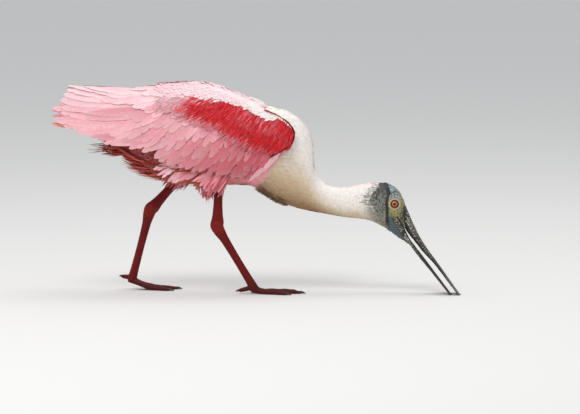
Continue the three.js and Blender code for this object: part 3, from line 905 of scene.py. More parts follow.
@dataclass(frozen=True)
class FeatherFinish(Finish):
    """Vanes: barbs, a shaft line, paler edges, painted shade on one half of each vane and a soft
    sheen.
    """

    name: str = "feather"
    roughness: float = 0.72
    barb_pitch: float = 0.0009
    shaft: float = 0.25
    edge: float = 0.2
    # How dark the painted shade on one half of each vane is.
    side: float = 0.5
    sheen: float = 0.06
    # Multiplied in both as random stains and as the painted shade on one half of each vane.
    stain: tuple = (0.86, 0.42, 0.44, 1)
    shaft_width: float = 0.07
    shaft_colour: tuple = (0.30, 0.05, 0.05, 1)
    edge_colour: tuple = (1.0, 0.90, 0.90, 1)

    def wire(self, n: Nodes, tint: object) -> dict:
        """Colours by tint with random stains and painted shade on one half of the vane, then shades
        shaft, edge and barbs.

        Args:
            n: The material's nodes.
            tint: The output that holds the colours.

        Returns:
            The shader's inputs.
        """
        vane = n.add("ShaderNodeSeparateXYZ")
        n.link(n.attribute("vane", "Vector"), vane.inputs[0])
        across = n.math("ABSOLUTE", vane.outputs[1])
        grainy, broad = n.noise(260.0), n.noise(45.0)
        phase = n.line(n.attribute("barb"), 2 * math.pi / self.barb_pitch, n.times(grainy, 9.0))
        wave = n.math("SINE", phase)
        colour = n.mix_colour(n.times(broad, 0.3), tint, self.stain, "MULTIPLY")
        # Painted shade: the vane's half towards negative across is darkened by the stain colour.
        shaded_half = n.line(vane.outputs[1], -0.5, 0.5)
        colour = n.mix_colour(n.times(shaded_half, shaded_half, self.side), colour, self.stain, "MULTIPLY")
        line = n.math("SUBTRACT", 1.0, n.math("DIVIDE", across, self.shaft_width))
        line = n.times(n.math("MAXIMUM", line, 0.0), self.shaft)
        colour = n.mix_colour(line, colour, self.shaft_colour)
        rim, tip = n.math("POWER", across, 3.0), n.math("POWER", vane.outputs[0], 6.0)
        pale = n.times(n.math("MAXIMUM", rim, tip), self.edge)
        colour = n.mix_colour(pale, colour, self.edge_colour)
        shade = n.times(n.line(wave, 0.05, 0.95), n.line(grainy, 0.3, 0.85))
        return {
            "Base Color": n.vector("SCALE", colour, shade),
            "Sheen Weight": self.sheen,
            "Sheen Roughness": 0.5,
            "Specular IOR Level": 0.1 + 2.5 * self.sheen,
            "Normal": n.bump(n.math("ADD", wave, n.times(grainy, 2.0)), 0.15, 0.0002),
        }


@dataclass(frozen=True)
class SkinFinish(Finish):
    """Bare skin with mottling, pores and fine wrinkles."""

    name: str = "bare_skin"
    roughness: float = 0.55
    spot: tuple = (0.012, 0.013, 0.012, 1)

    def wire(self, n: Nodes, tint: object) -> dict:
        """Colours by tint, lays the mottles over it and roughens it.

        Args:
            n: The material's nodes.
            tint: The output that holds the colours.

        Returns:
            The shader's inputs.
        """
        fine, broad = n.noise(900.0, 4.0), n.noise(240.0, 4.0)
        blotch = n.line(n.noise(1500.0, 2.0), 0.5, n.noise(420.0, 5.0))
        spot = n.line(n.attribute("mottle"), 0.55, n.math("SUBTRACT", blotch, 0.98))
        spot = n.times(n.math("MINIMUM", n.math("MAXIMUM", spot, 0.0), 0.06), 15.0)
        colour = n.mix_colour(spot, tint, self.spot)
        return {
            "Base Color": n.vector("SCALE", colour, n.line(fine, 0.7, 0.65)),
            "Roughness": n.line(broad, 0.3, 0.4),
            "Normal": n.bump(n.math("ADD", broad, n.times(fine, 0.5)), 0.6, 0.0006),
        }


@dataclass(frozen=True)
class ScaleFinish(Finish):
    """Scaly legs: dark seams between low polished scales."""

    name: str = "leg_scales"
    roughness: float = 0.45

    def wire(self, n: Nodes, tint: object) -> dict:
        """Colours by tint, darker in the seams.

        Args:
            n: The material's nodes.
            tint: The output that holds the colours.

        Returns:
            The shader's inputs.
        """
        cell, broad, fine = n.attribute("cell"), n.noise(120.0), n.noise(900.0)
        shade = n.times(n.line(cell, 0.55, 0.5), n.line(broad, 0.9, 0.55))
        return {
            "Base Color": n.vector("SCALE", tint, shade),
            "Roughness": n.line(fine, 0.3, 0.4),
            "Specular IOR Level": 0.2,
            "Normal": n.bump(n.math("ADD", cell, n.times(fine, 0.4)), 0.4, 0.0003),
        }


@dataclass(frozen=True)
class HornFinish(Finish):
    """Horn of the bill and claws, with streaks along it."""

    name: str = "horn"
    roughness: float = 0.5

    def wire(self, n: Nodes, tint: object) -> dict:
        """Colours by tint with fine streaks and pits.

        Args:
            n: The material's nodes.
            tint: The output that holds the colours.

        Returns:
            The shader's inputs.
        """
        broad, fine = n.noise(110.0, 4.0), n.noise(700.0, 4.0)
        shade = n.times(n.line(broad, 1.1, 0.45), n.math("ADD", fine, 0.5))
        return {
            "Base Color": n.vector("SCALE", tint, shade),
            "Roughness": n.line(fine, 0.35, 0.35),
            "Normal": n.bump(n.math("ADD", broad, n.times(fine, 0.5)), 0.5, 0.0006),
        }


@dataclass(frozen=True)
class EyeFinish(Finish):
    """The eye: rayed iris and dark pupil under a wet surface."""

    name: str = "eye"
    roughness: float = 0.12

    def wire(self, n: Nodes, tint: object) -> dict:
        """Colours by tint with rays from noise.

        Args:
            n: The material's nodes.
            tint: The output that holds the colours.

        Returns:
            The shader's inputs.
        """
        rays, broad = n.noise(1400.0, 2.0), n.noise(300.0, 2.0)
        shade = n.times(n.math("ADD", rays, 0.55), n.line(broad, 0.4, 0.8))
        return {
            "Base Color": n.vector("SCALE", tint, shade),
            "Specular IOR Level": 0.1,
            "Coat Weight": 1.0,
            "Coat Roughness": 0.03,
            "Normal": n.bump(rays, 0.05, 0.0001),
        }


class VaneForm(Enum):
    """How finely a feather is built: rows along it and columns across."""

    TUFT = (3, 2)
    CONTOUR = (4, 2)
    STRAND = (6, 2)
    COVERT = (8, 4)
    FLIGHT = (24, 4)
    DOME = (6, 6)


@dataclass(frozen=True)
class Vane:
    """A template vane in its own space: along, across and through."""

    form: VaneForm
    point: float = 0.0
    fray: float = 0.0
    sweep: float = 0.0
    seed: int = 1

    def make(self) -> bpy.types.Object:
        """A closed lens whose places are (along, across, through).

        Returns:
            The lens.
        """
        rows, columns = self.form.value
        rng = np.random.default_rng(self.seed)
        u, v = np.linspace(0, 1, rows + 1), np.linspace(-1, 1, columns + 1)
        width = self.width(u)
        nick = rng.uniform(0.4, 1, (rows + 1, 2)) * (rng.uniform(0, 1, (rows + 1, 2)) < 0.16)
        nick = nick * self.fray + rng.uniform(0, 0.05, (rows + 1, 2))
        points, index, rim = [], {}, set()
        for i, j in np.ndindex(rows + 1, columns + 1):
            off = abs(v[j])
            cut = nick[i, 0 if v[j] < 0 else 1] * off**3 * smooth(0.25, 0.6, u[i])
            x = min(1.0, u[i] + self.sweep * off * (1 - u[i]))
            y = v[j] * width[i] * (1 - cut)
            if j in (0, columns) or i in (0, rows):
                rim.add(len(points))
                index[i, j, 1] = index[i, j, -1] = len(points)
                points.append((x, y, 0.0))
                continue
            for face in (1, -1):
                index[i, j, face] = len(points)
                points.append((x, y, face * (1 - off**2) * self.crown(u[i])))
        faces = []
        for face in (1, -1):
            for i, j in np.ndindex(rows, columns):
                quad = (i, j), (i + 1, j), (i + 1, j + 1), (i, j + 1)
                faces.append(tuple([index[a, b, face] for a, b in quad][::-face]))
        made = mesh_object("vane", np.array(points, float), faces)
        for edge in made.data.edges:
            edge.use_edge_sharp = rim.issuperset(edge.vertices)
        return made

    def crown(self, u: float) -> float:
        """Height along the vane: a dome's, or a feather's that thins to its tip."""
        return 2 * math.sqrt(u * (1 - u)) if self.form is VaneForm.DOME else 1 - 0.6 * u

    def width(self, u: Array) -> Array:
        """Half width along the vane, rounded or pointed at its tip.

        Args:
            u: Places along the vane, 0 to 1.

        Returns:
            One half width a place.
        """
        if self.form is VaneForm.DOME:
            return np.maximum(2 * np.sqrt(u * (1 - u)), 0.05)
        root = 0.35 + 0.65 * np.clip(u / 0.35, 0, 1) ** 0.8
        start = 0.62 - 0.4 * self.point
        end = np.clip((u - start) / (1 - start), 0, 1)
        rounded = np.sqrt(np.clip(1 - end**2.4, 0.0025, 1))
        return root * (rounded * (1 - self.point) + (1 - 0.97 * end) * self.point)


TRACT_INPUTS = {
    "Geometry": "Geometry", "Vane": "Object", "Finish": "Material",
    "Ruffle": "Float", "Camber": "Float", "Seed": "Int",
}


def feather_tree() -> bpy.types.NodeTree:
    """The Geometry Nodes tree that lays vanes along their own bent shafts.

    Returns:
        The tree, with inputs for the vane, finish, ruffle, camber and seed.
    """
    if "FeatherTract" in bpy.data.node_groups:
        return bpy.data.node_groups["FeatherTract"]
    tree = bpy.data.node_groups.new("FeatherTract", "GeometryNodeTree")
    for name, kind in TRACT_INPUTS.items():
        tree.interface.new_socket(name, in_out="INPUT", socket_type="NodeSocket" + kind)
    tree.interface.new_socket("Geometry", in_out="OUTPUT", socket_type="NodeSocketGeometry")
    n = Nodes(tree)
    given, end = n.add("NodeGroupInput").outputs, n.add("NodeGroupOutput")

    def made(kind: str, values: dict, output: int | str = 0, **settings: object) -> object:
        """One output of a new node with its inputs filled."""
        return n.feed(n.add(kind, **settings), values).outputs[output]

    def named(name: str, kind: str = "FLOAT_VECTOR") -> object:
        """A value kept on the points."""
        return made("GeometryNodeInputNamedAttribute", {"Name": name}, data_type=kind)

    def keep(geometry: object, name: str, value: object, kind: str = "FLOAT") -> object:
        """The geometry with one more value on its points."""
        values = {"Geometry": geometry, "Name": name, "Value": value}
        return made("GeometryNodeStoreNamedAttribute", values, data_type=kind, domain="POINT")

    chance = {2: -1.0, 3: 1.0, "Seed": given["Seed"]}
    sway = made("FunctionNodeRandomValue", chance, 1, data_type="FLOAT")
    points = keep(given["Geometry"], "sway", sway)
    vane = made("GeometryNodeObjectInfo", {"Object": given["Vane"]}, "Geometry")
    spread = made("GeometryNodeInstanceOnPoints", {"Points": points, "Instance": vane})
    real = made("GeometryNodeRealizeInstances", {0: spread})
    kept = keep(real, "vane", made("GeometryNodeInputPosition", {}), "FLOAT_VECTOR")
    local = n.feed(n.add("ShaderNodeSeparateXYZ"), {0: named("vane")})
    u, v, w = local.outputs
    root, knee, tip = named("root"), named("knee"), named("tip")
    first, second = n.mix_vector(u, root, knee), n.mix_vector(u, knee, tip)
    ahead = n.vector("NORMALIZE", n.vector("SUBTRACT", second, first))
    across = n.vector("NORMALIZE", n.mix_vector(u, named("across0"), named("across1")))
    out = n.vector("NORMALIZE", n.vector("CROSS_PRODUCT", ahead, across))
    aside = n.times(v, named("width", "FLOAT"))
    drop = n.math("ABSOLUTE", n.times(n.math("ABSOLUTE", v), aside, given["Camber"]))
    sway = n.times(named("sway", "FLOAT"), given["Ruffle"], u)
    rise = n.math("ADD", n.times(w, named("depth", "FLOAT")), sway)
    rise = n.math("SUBTRACT", rise, drop)
    moved = n.vector("ADD", n.mix_vector(u, first, second), n.vector("SCALE", across, aside))
    moved = n.vector("ADD", moved, n.vector("SCALE", out, rise))
    length = made("ShaderNodeVectorMath", {0: tip, 1: root}, "Value", operation="DISTANCE")
    barb = n.math("ADD", n.times(u, length), n.times(n.math("ABSOLUTE", aside), 0.8))
    laid = {"Geometry": keep(kept, "barb", barb), "Position": moved}
    dress = {"Geometry": made("GeometryNodeSetPosition", laid), "Material": given["Finish"]}
    n.link(made("GeometryNodeSetMaterial", dress), end.inputs[0])
    return tree


@dataclass
class Tract:
    """A set of feathers, each with its bent shaft, breadth, colour and root."""

    root: Array
    knee: Array
    tip: Array
    across0: Array
    across1: Array
    width: Array
    depth: Array
    tint: Array
    bake: Array

    @staticmethod
    def joined(tracts: list["Tract"]) -> "Tract":
        """Several sets as one."""
        return Tract(*map(np.concatenate, zip(*(vars(t).values() for t in tracts))))

    def build(
        self, name: str, vane: Vane, finish: Finish,
        ruffle: float = 0.0, camber: float = 0.1, seed: int = 1,
    ) -> bpy.types.Object:
        """Lays the vane along every shaft and returns one plain mesh.

        Args:
            name: the piece's name.
            vane: the template.
            finish: the material.
            ruffle: random lift of the tips, in metres.
            camber: how far the edges drop, as a share of the width.
            seed: fixes the random lifts.

        Returns:
            The finished object.
        """
        mesh = bpy.data.meshes.new(name + "_roots")
        mesh.from_pydata([(0, 0, 0)] * len(self.root), [], [])
        kept = dict(vars(self), bake=table(*self.bake.T, 0.0))
        kept.update({key: world(kept[key]) for key in ("root", "knee", "tip")})
        kept.update({key: kept[key] * MM for key in ("width", "depth")})
        store(mesh, **kept)
        holder, template, tree = placed(mesh.name, mesh), vane.make(), feather_tree()
        modifier = holder.modifiers.new("feathers", "NODES")
        modifier.node_group = tree
        values = {
            "Vane": template, "Finish": finish.make(),
            "Ruffle": float(ruffle), "Camber": float(camber), "Seed": seed,
        }
        for item in tree.interface.items_tree:
            if item.in_out == "INPUT" and item.name in values:
                modifier[item.identifier] = values[item.name]
        done = settled(holder, name)
        bpy.data.objects.remove(template)
        made = done.data
        place = stored(made, "vane")
        local = table(place[:, 0] - 0.5, place[:, 1] * 0.5)
        set_uv(made, np.clip(stored(made, "bake")[:, :2] + BAKE_PATCH * local, 0, 1))
        for key in (kept.keys() - {"tint"}) | {"sway"}:
            made.attributes.remove(made.attributes[key])
        made.shade_smooth()
        return done


def body_bake(station: Array, angle: Array) -> Array:
    """Places on the skin's unwrap: round the body and along it."""
    turn = (angle / (2 * math.pi)) % 1.0
    return table(0.01 + 0.6 * turn, 0.01 + 0.98 * station / BODY.last)


def bake_run(x: Array) -> Array:
    """Share of the way from the tail's end to the wrist."""
    return np.clip((x + 330) / 400, 0, 1)


def wing_bake(x: Array, angle: Array, side: int) -> Array:
    """Places on the wings' own part of the unwrap."""
    across = (0.64 if side > 0 else 0.82) + 0.16 * np.clip(angle / math.pi, 0, 1)
    return table(across, 0.02 + 0.96 * bake_run(x))


def cloud(rng: Rng, count: int, *spans: tuple[float, float]) -> Array:
    """Random rows, one column within each span."""
    return table(*[rng.uniform(low, high, count) for low, high in spans])


def along(
    rng: Rng, share: Array, first: tuple, last: tuple, spread: float
) -> Array:
    """Places at shares of the way from first to last, seen from the side and scattered."""
    way = np.array(last) - np.array(first)
    return np.array(first) + share * way + rng.normal(0, spread, (len(share), 2))


def plain(tone: Array) -> Callable:
    """A colouring that is the same at every place."""
    return lambda x, z: np.broadcast_to(tone, (len(x), 3))


def chances(part: str) -> Rng:
    """The random source of one part."""
    return np.random.default_rng(SEEDS[part])


@dataclass(frozen=True)
class Lie:
    """How the feathers of one part lie on the body."""

    length: float
    width: float
    root: float = -1.5
    tip: float = 1.2
    turn: float = 0.12
    thick: float = 0.3


def body_feathers(
    station: Array, angle: Array, lie: Lie, rng: Rng,
    colour: Callable = Markings.body,
) -> Tract:
    """Feathers rooted on the body, pointing from the head towards the tail.

    Args:
        station: each root's place along the ribs.
        angle: each root's angle from the top.
        lie: length, breadth and lift.
        rng: source of the small differences.
        colour: gives the tint from place and angle.

    Returns:
        The feathers.
    """
    count = len(station)
    length = lie.length * rng.uniform(0.8, 1.2, count)
    root, before = BODY.at(station, angle, lie.root), np.maximum(station - 0.05, 0)
    speed = np.linalg.norm(BODY.at(station, angle) - BODY.at(before, angle), axis=-1)
    aim = rng.normal(0, lie.turn, count) * length / 30
    end = np.maximum(station - length * 0.05 / np.maximum(speed, 0.2), 0.0)
    lift = lie.tip * rng.uniform(0.5, 1.3, count)
    tip = BODY.at(end, angle + aim, lift)
    middle = BODY.at((station + end) / 2, angle + aim / 2, lift * 0.8)
    out = BODY.normal(station, angle)
    across = np.cross(out, unit(tip - root)) + 0.12 * out * rng.normal(0, 1, (count, 1))
    across = unit(across)
    tint = colour(middle, angle) * rng.uniform(0.93, 1.05, (count, 1))
    width = lie.width * rng.uniform(0.8, 1.2, count)
    return Tract(
        swing(root), swing(2 * middle - (root + tip) / 2), swing(tip), across, across,
        width, np.full(count, lie.thick), tint, body_bake(station, angle),
    )


def scatter(
    low: float, high: float, pitch: float, rng: Rng
) -> tuple[Array, Array]:
    """Rows of jittered places over the body from one station to another.

    Args:
        low: first station.
        high: last station.
        pitch: distance between neighbours, in millimetres.
        rng: source of the jitter.

    Returns:
        The stations and the angles.
    """
    stations, angles, at = [], [], low
    while at < high:
        ring = BODY.at(np.full(64, at), np.linspace(0, 2 * math.pi, 64))
        girth = np.linalg.norm(np.diff(ring, axis=0), axis=1).sum()
        count = max(6, int(girth / pitch))
        angle = (np.arange(count) + rng.uniform(0, 1, count)) / count * 2 * math.pi
        pair = BODY.at(np.array([min(at + 0.05, BODY.last), at]), np.array([1.6, 1.6]))
        step = pitch * 0.05 / max(np.linalg.norm(pair[0] - pair[1]), 0.2)
        stations.append(np.clip(at + rng.uniform(-0.5, 0.5, count) * step, low, high))
        angles.append(angle - math.pi)
        at += step
    return np.concatenate(stations), np.concatenate(angles)


def wing_feathers(
    side: int, root: Array, tip: Array, width: Array, lift: tuple[float, float],
    rng: Rng, tilt: float = 0.1, thick: float = 0.4,
    colour: Callable = Markings.wing, seen: float = 0.6,
) -> Tract:
    """Feathers that lie on a folded wing.

    Args:
        side: +1 for the left wing, -1 for the right.
        root: roots as x and z seen from the side.
        tip: tips likewise.
        width: half widths.
        lift: heights over the wing's surface at the root and the tip.
        rng: source of the small differences.
        tilt: how far the lower edge rides over its neighbour.
        thick: half thickness.
        colour: gives the tint from x and z.
        seen: share of the length where the tint is read.

    Returns:
        The feathers.
    """
    count, mirror = len(root), np.array([1, side, 1])
    (x0, z0), (x1, z1) = root.T, tip.T
    a0, a1 = WING.angle_at(x0, z0), WING.angle_at(x1, z1)
    rise = lift[1] + rng.normal(0, 0.25, count)
    start, end = WING.point(x0, a0, lift[0], side), WING.point(x1, a1, rise, side)
    height = lift[0] * 0.35 + rise * 0.65
    middle = WING.point((x0 + x1) / 2, (a0 + a1) / 2, height, side)
    across = []
    for x, angle in ((x0, a0), (x1, a1)):
        out = WING.normal(x, angle) * mirror
        across.append(unit(unit(np.cross(out, unit(end - start))) - side * tilt * out))
    place = root + (tip - root) * seen + rng.normal(0, 3.5, (count, 2))
    tint = colour(*place.T) * rng.uniform(0.9, 1.06, (count, 1))
    rosy = rng.uniform(-0.3, 0.3, count).clip(0) * (tint[:, 1] < 0.6)
    return Tract(
        start, 2 * middle - (start + end) / 2, end, *across, width, np.full(count, thick),
        np.clip(blend(tint, Palette.ROSE, rosy), 0, 1), wing_bake(x0, a0, side),
    )


def straight_feathers(
    root: Array, tip: Array, out: Array, width: Array | float, tint: Array, bow: float
) -> Tract:
    """Feathers on slightly bowed shafts.

    Args:
        root: roots in millimetres.
        tip: tips.
        out: the direction each one's upper face looks, or one for all.
        width: half widths, or one for all.
        tint: colours, or one for all.
        bow: how far the middle stands out.

    Returns:
        The feathers.
    """
    count = len(root)
    across = unit(np.cross(out, unit(tip - root)))
    turn = 0.25 + 0.2 * np.clip(root[:, 1] / 40, -1, 1)
    bake = table(0.01 + 0.6 * turn, 0.05 + 0.4 * bake_run(root[:, 0]))
    return Tract(
        root, (root + tip) / 2 + bow * out, tip, across, across,
        np.broadcast_to(width, count), np.full(count, 0.35),
        np.broadcast_to(tint, root.shape), bake,
    )


@dataclass(frozen=True)
class Tier:
    """One tier of a wing: its curves of roots and tips and its feathers."""

    name: str
    count: int
    half: float
    lift: float
    roots: tuple
    tips: tuple
    jitter: float = 1.0
    fray: float = 0.12
    point: float = 0.0

    def laid(self, side: int, rng: Rng) -> Tract:
        """The tier's feathers on one wing.

        Args:
            side: The wing's side.
            rng: The random draws.

        Returns:
            The feathers.
        """
        t, ends = np.linspace(0, 1, self.count) ** 1.2, []
        for line, spread in ((self.roots, self.jitter), (self.tips, self.jitter * 1.6)):
            place = catmull(np.array(line, float), t * (len(line) - 1))
            ends.append(place + rng.normal(0, spread, place.shape))
        width = self.half * rng.uniform(0.85, 1.1, self.count) * (0.72 + 0.36 * t)
        return wing_feathers(side, *ends, width, (-1.5, self.lift), rng, tilt=0.05)


WING_TIERS = (
    Tier("primaries", 12, 9.5, 0.6,
         ((-150, 252), (-172, 264), (-180, 277), (-178, 290)),
         ((-236, 254), (-274, 259), (-308, 270), (-322, 288), (-310, 304)),
         jitter=3, fray=0.7, point=0.3),
    Tier("secondaries", 26, 8.5, 0.9,
         ((46, 252), (0, 250), (-60, 252), (-120, 262), (-160, 276)),
         ((28, 214), (-38, 195), (-115, 200), (-170, 225), (-228, 253)),
         jitter=2, fray=0.5, point=0.25),
    Tier("greater", 24, 7.5, 1.2,
         ((54, 262), (10, 272), (-50, 280), (-105, 289), (-150, 297)),
         ((38, 228), (-24, 217), (-92, 221), (-152, 238), (-226, 258)),
         jitter=2.4, fray=0.4, point=0.15),
    Tier("median_low", 24, 7, 1.5,
         ((56, 266), (12, 278), (-46, 287), (-100, 296), (-146, 304)),
         ((44, 240), (-12, 234), (-74, 242), (-132, 258), (-208, 280)),
         jitter=2.6, fray=0.4, point=0.1),
    Tier("median_high", 22, 7, 1.8,
         ((58, 266), (20, 284), (-36, 296), (-92, 304), (-140, 312)),
         ((50, 249), (0, 250), (-56, 260), (-112, 274), (-188, 296)),
         jitter=2.8, fray=0.4, point=0.1),
    Tier("tertials", 9, 12, 1.6,
         ((-130, 296), (-140, 307), (-146, 316), (-150, 322)),
         ((-262, 280), (-298, 294), (-310, 306), (-268, 316)),
         jitter=2.5, fray=0.5, point=0.1),
    Tier("plume", 3, 9, 3.2,
         ((-196, 311), (-190, 314), (-184, 317)),
         ((-300, 325), (-296, 331), (-272, 327)),
         jitter=0.5, fray=0.3),
    Tier("scapulars_low", 18, 8, 2.0,
         ((-30, 306), (-60, 314), (-92, 322), (-138, 328)),
         ((-92, 284), (-136, 290), (-186, 302), (-246, 312)),
         jitter=3, fray=0.4),
    Tier("scapulars_high", 16, 8, 2.3,
         ((-30, 318), (-60, 325), (-96, 331), (-136, 332)),
         ((-82, 306), (-120, 313), (-166, 319), (-226, 318)),
         jitter=2.5, fray=0.4),
)

PLAIN = FeatherFinish()
CONTOUR_LOOK = FeatherFinish(name="contour_feather", shaft=0.05)
NECK_LOOK = FeatherFinish(
    name="neck_feather", edge=0.1, shaft=0.0, side=0.1, barb_pitch=0.0006,
    stain=(0.94, 0.84, 0.74, 1),
)
SHOULDER_LOOK = FeatherFinish(name="shoulder_feather", edge=0.01, shaft=0.1, side=0.3, sheen=0.0)
CLOAK_LOOK = FeatherFinish(name="cloak_feather", edge=0.15, shaft=0.0, side=0.1)
TAIL_LOOK = FeatherFinish(name="tail_feather", edge=0.25)
UNDERTAIL_LOOK = FeatherFinish(name="undertail_feather", edge=0.02, sheen=0.0)

# Name, first and last station, pitch, lie, vane and look of each coat.
COATS = (
    ("coat_torso", 0.15, 6.4, 5.0, Lie(19, 3.8, -1.4, 0.8, 0.1, 0.2),
     VaneForm.CONTOUR, CONTOUR_LOOK),
    ("coat_breast", 5.8, 9.4, 2.9, Lie(14, 2.4, -0.7, 0.35, 0.06, 0.12),
     VaneForm.CONTOUR, NECK_LOOK),
    ("coat_neck_lower", 9.1, 12.2, 2.1, Lie(9.5, 1.7, -0.6, 0.25, 0.05, 0.1),
     VaneForm.CONTOUR, NECK_LOOK),
    ("coat_neck_upper", 12.0, 16.6, 1.68, Lie(7, 1.3, -0.5, 0.2, 0.05, 0.08),
     VaneForm.TUFT, NECK_LOOK),
)
# Count, depth, first and last root, first and last tip, colour and half width.
LOBES = (
    (11, -45, (-114, 222), (-96, 212), (-158, 196), (-128, 180), Palette.PALE_PINK, 5.5),
    (7, -47, (-100, 210), (-84, 204), (-132, 190), (-112, 180), Palette.PINK, 5.0),
    (14, -40, (-96, 204), (-66, 198), (-122, 178), (-84, 170), Palette.RUSSET, 3.5),
    (12, -50, (-72, 200), (-38, 196), (-104, 182), (-56, 160), Palette.PINK, 4.6),
    (9, -51, (-64, 198), (-34, 196), (-86, 162), (-58, 154), Palette.ROSE, 1.6),
)
# Share of a limb's length, fore-aft radius and sideways radius.
THIGH = ((0, 25, 11), (0.35, 21, 11), (0.7, 12.5, 9), (1, 8, 7))
SHANK = (
    (0, 8, 6.6), (0.1, 7.6, 6.2), (0.2, 7.1, 5.8), (0.31, 8.4, 6.8), (0.375, 10.4, 8.2),
    (0.43, 9.6, 7.6), (0.52, 7, 5.4), (0.7, 6.1, 4.8), (0.88, 6.4, 5.2), (1, 7.2, 7),
)
TOE = (
    (0, 6.4, 6.2), (0.2, 4.5, 4.7), (0.34, 3.9, 4.1), (0.48, 4.4, 4.7), (0.66, 3.4, 3.6),
    (0.8, 3.8, 4), (0.95, 2.8, 2.8), (1, 2.1, 2.1),
)
HALLUX = ((0, 4.6, 4.2), (0.5, 3.8, 3.5), (0.9, 3.1, 3), (1, 2.2, 2))
CLAW = ((0, 2.4, 1.9), (0.4, 2.1, 1.6), (0.8, 1.1, 0.9), (1, 0.4, 0.4))
SHIN_LENGTH, HALLUX_DOWN = 117, 112


@dataclass
class Piece:
    """A finished piece and what it stands for."""

    made: bpy.types.Object
    slot: str
    nodes: tuple[str, ...] = ()

    def declare(self) -> None:
        """Tells the frame what the piece rides on and replaces."""
        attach(self.made, "root")
        if self.nodes:
            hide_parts(*self.nodes)
        LOG.info("%s: %d faces", self.made.name, len(self.made.data.polygons))


def dressed(made: bpy.types.Object, finish: Finish, **values: Array) -> bpy.types.Object:
    """The object with one finish and the values that it reads.

    Args:
        made: The object to dress.
        finish: Its finish.
        **values: What the finish reads, one row a vertex.

    Returns:
        The same object.
    """
    made.data.materials.clear()
    made.data.materials.append(finish.make())
    store(made.data, **values)
    return made


@dataclass
class Skin:
    """The skin under the coat: torso, neck, bare head and thighs."""

    coat_depth: float = 1.2
    neck_depth: float = 0.8
    around: int = 144
    body_rings: int = 150
    head_rings: int = 150
    head_start: float = 14.4
    bare_start: float = 14.2

    @staticmethod
    def displaced(p: Array) -> Array:
        """Lids, brow, mouth line, jaw and wrinkles of the bare head.

        Args:
            p: places before the swing.

        Returns:
            Distances outwards in millimetres.
        """
        x, z = p[..., 0], p[..., 2]
        eye, away = np.hypot(x - EYE[0], z - EYE[2]), Markings.gape(x, z)
        lid = 1.25 * bell(eye - 6.2, 1.0) - 3.4 * smooth(5.4, 4.2, eye)
        fold = 0.5 * bell(eye - 9.2, 1.0) + bell(eye - 11, 2.5) * smooth(2, 9, z - EYE[2])
        mouth = 0.6 * bell(away - 2.2, 1.0) - 1.3 * bell(away, 0.75)
        ear = bell(np.hypot(x - EAR[0], z - EAR[1]), 3.2)
        sides = smooth(6, 10, np.abs(p[..., 1])) * (lid + fold + mouth - ear)
        jaw = Markings.jaw(x, z)[0]
        folds = 0.28 * np.sin(jaw * 1.9 + 2 * grain(p, 9, 4.2))
        folds = folds * smooth(0, -6, jaw) * smooth(130, 118, z)
        rim = 0.7 * bell(Markings.rim(x, z, Markings.coarse(p)), 1.6)
        warts = 0.45 * np.maximum(grain(p, 1.7, 9.1), 0) + 0.35 * grain(p, 4, 1.4)
        bare = smooth(-2, 5, Markings.hood_edge(p))
        return bare * (sides + folds + rim + warts * smooth(4.5, 7.5, eye))

    def body(self) -> tuple[Array, list[tuple], Array, Array, Array]:
        """The loft from tail root to bill base.

        Returns:
            Points, faces, colours, places on the baking map and mottling.
        """
        low = np.linspace(0, self.head_start, self.body_rings)
        high = np.linspace(self.head_start, BODY.last, self.head_rings)[1:]
        station = np.concatenate([low, high])
        s, a = np.meshgrid(station, turns(self.around), indexing="ij")
        inset = -(self.neck_depth + self.coat_depth * smooth(8.5, 5.5, s)) * smooth(15.1, 14.3, s)
        inset = inset - 1.6 * np.clip((s - 18.4) / 0.6, 0, 1) ** 2
        p = BODY.at(s, a, inset, BODY_SQUARE - 0.2 * smooth(14.5, 15.5, s))
        across = np.roll(p, -1, axis=1) - np.roll(p, 1, axis=1)
        out = unit(np.cross(np.gradient(p, axis=0), across))
        out = np.where(dot(out, BODY.normal(s, a)) < 0, -out, out)
        tint = Markings.body(p, np.where(a > math.pi, a - 2 * math.pi, a))
        shift, mottle = np.zeros(s.shape), np.zeros(s.shape)
        head = station > self.bare_start
        bare = p[head]
        shift[head], mottle[head] = self.displaced(bare), Markings.mottle(bare)
        edge = smooth(-1, 1.5, Markings.hood_edge(bare))
        tint[head] = blend(tint[head], Markings.head(bare), edge)
        points, faces = lofted(swing(p + out * shift[..., None]))
        return points, faces, capped(tint), capped(body_bake(s, a)), mottle

    def build(self, thighs: list[Array]) -> Piece:
        """The whole skin as one piece.

        Args:
            thighs: rings of points for each thigh.

        Returns:
            The finished piece.
        """
        points, faces, tints, bakes, mottle = self.body()
        body = mesh_object("body", world(points), faces)
        places = [world(points)]
        for index, rings in enumerate(thighs):
            made, quads = lofted(rings)
            places.append(world(made))
            union = body.modifiers.new("join", "BOOLEAN")
            union.operation, union.solver = "UNION", "EXACT"
            union.object = mesh_object("thigh", places[-1], quads)
            tints = np.vstack([tints, np.broadcast_to(Palette.ROSE, made.shape)])
            share = np.linspace(0, 1, len(made))[:, None]
            bakes = np.vstack([bakes, [0.3 * (1 + index), 0.3] + share * [0.02, 0.04]])
        cutters = [modifier.object for modifier in body.modifiers]
        skin = settled(body, "skin")
        for cutter in cutters:
            bpy.data.objects.remove(cutter)
        tree = KDTree(len(tints))
        for index, place in enumerate(np.vstack(places)):
            tree.insert(place, index)
        tree.balance()
        near = [tree.find(v.co)[1] for v in skin.data.vertices]
        turn_out(skin.data)
        spots = np.zeros(len(tints))
        spots[: mottle.size] = mottle.ravel()
        dressed(skin, SkinFinish(), tint=tints[near], mottle=spots[near])
        set_uv(skin.data, bakes[near])
        nodes = ("torso", "neck_lower", "neck_upper", "head", "thigh_left", "thigh_right")
        return Piece(skin, "bare_skin", nodes)


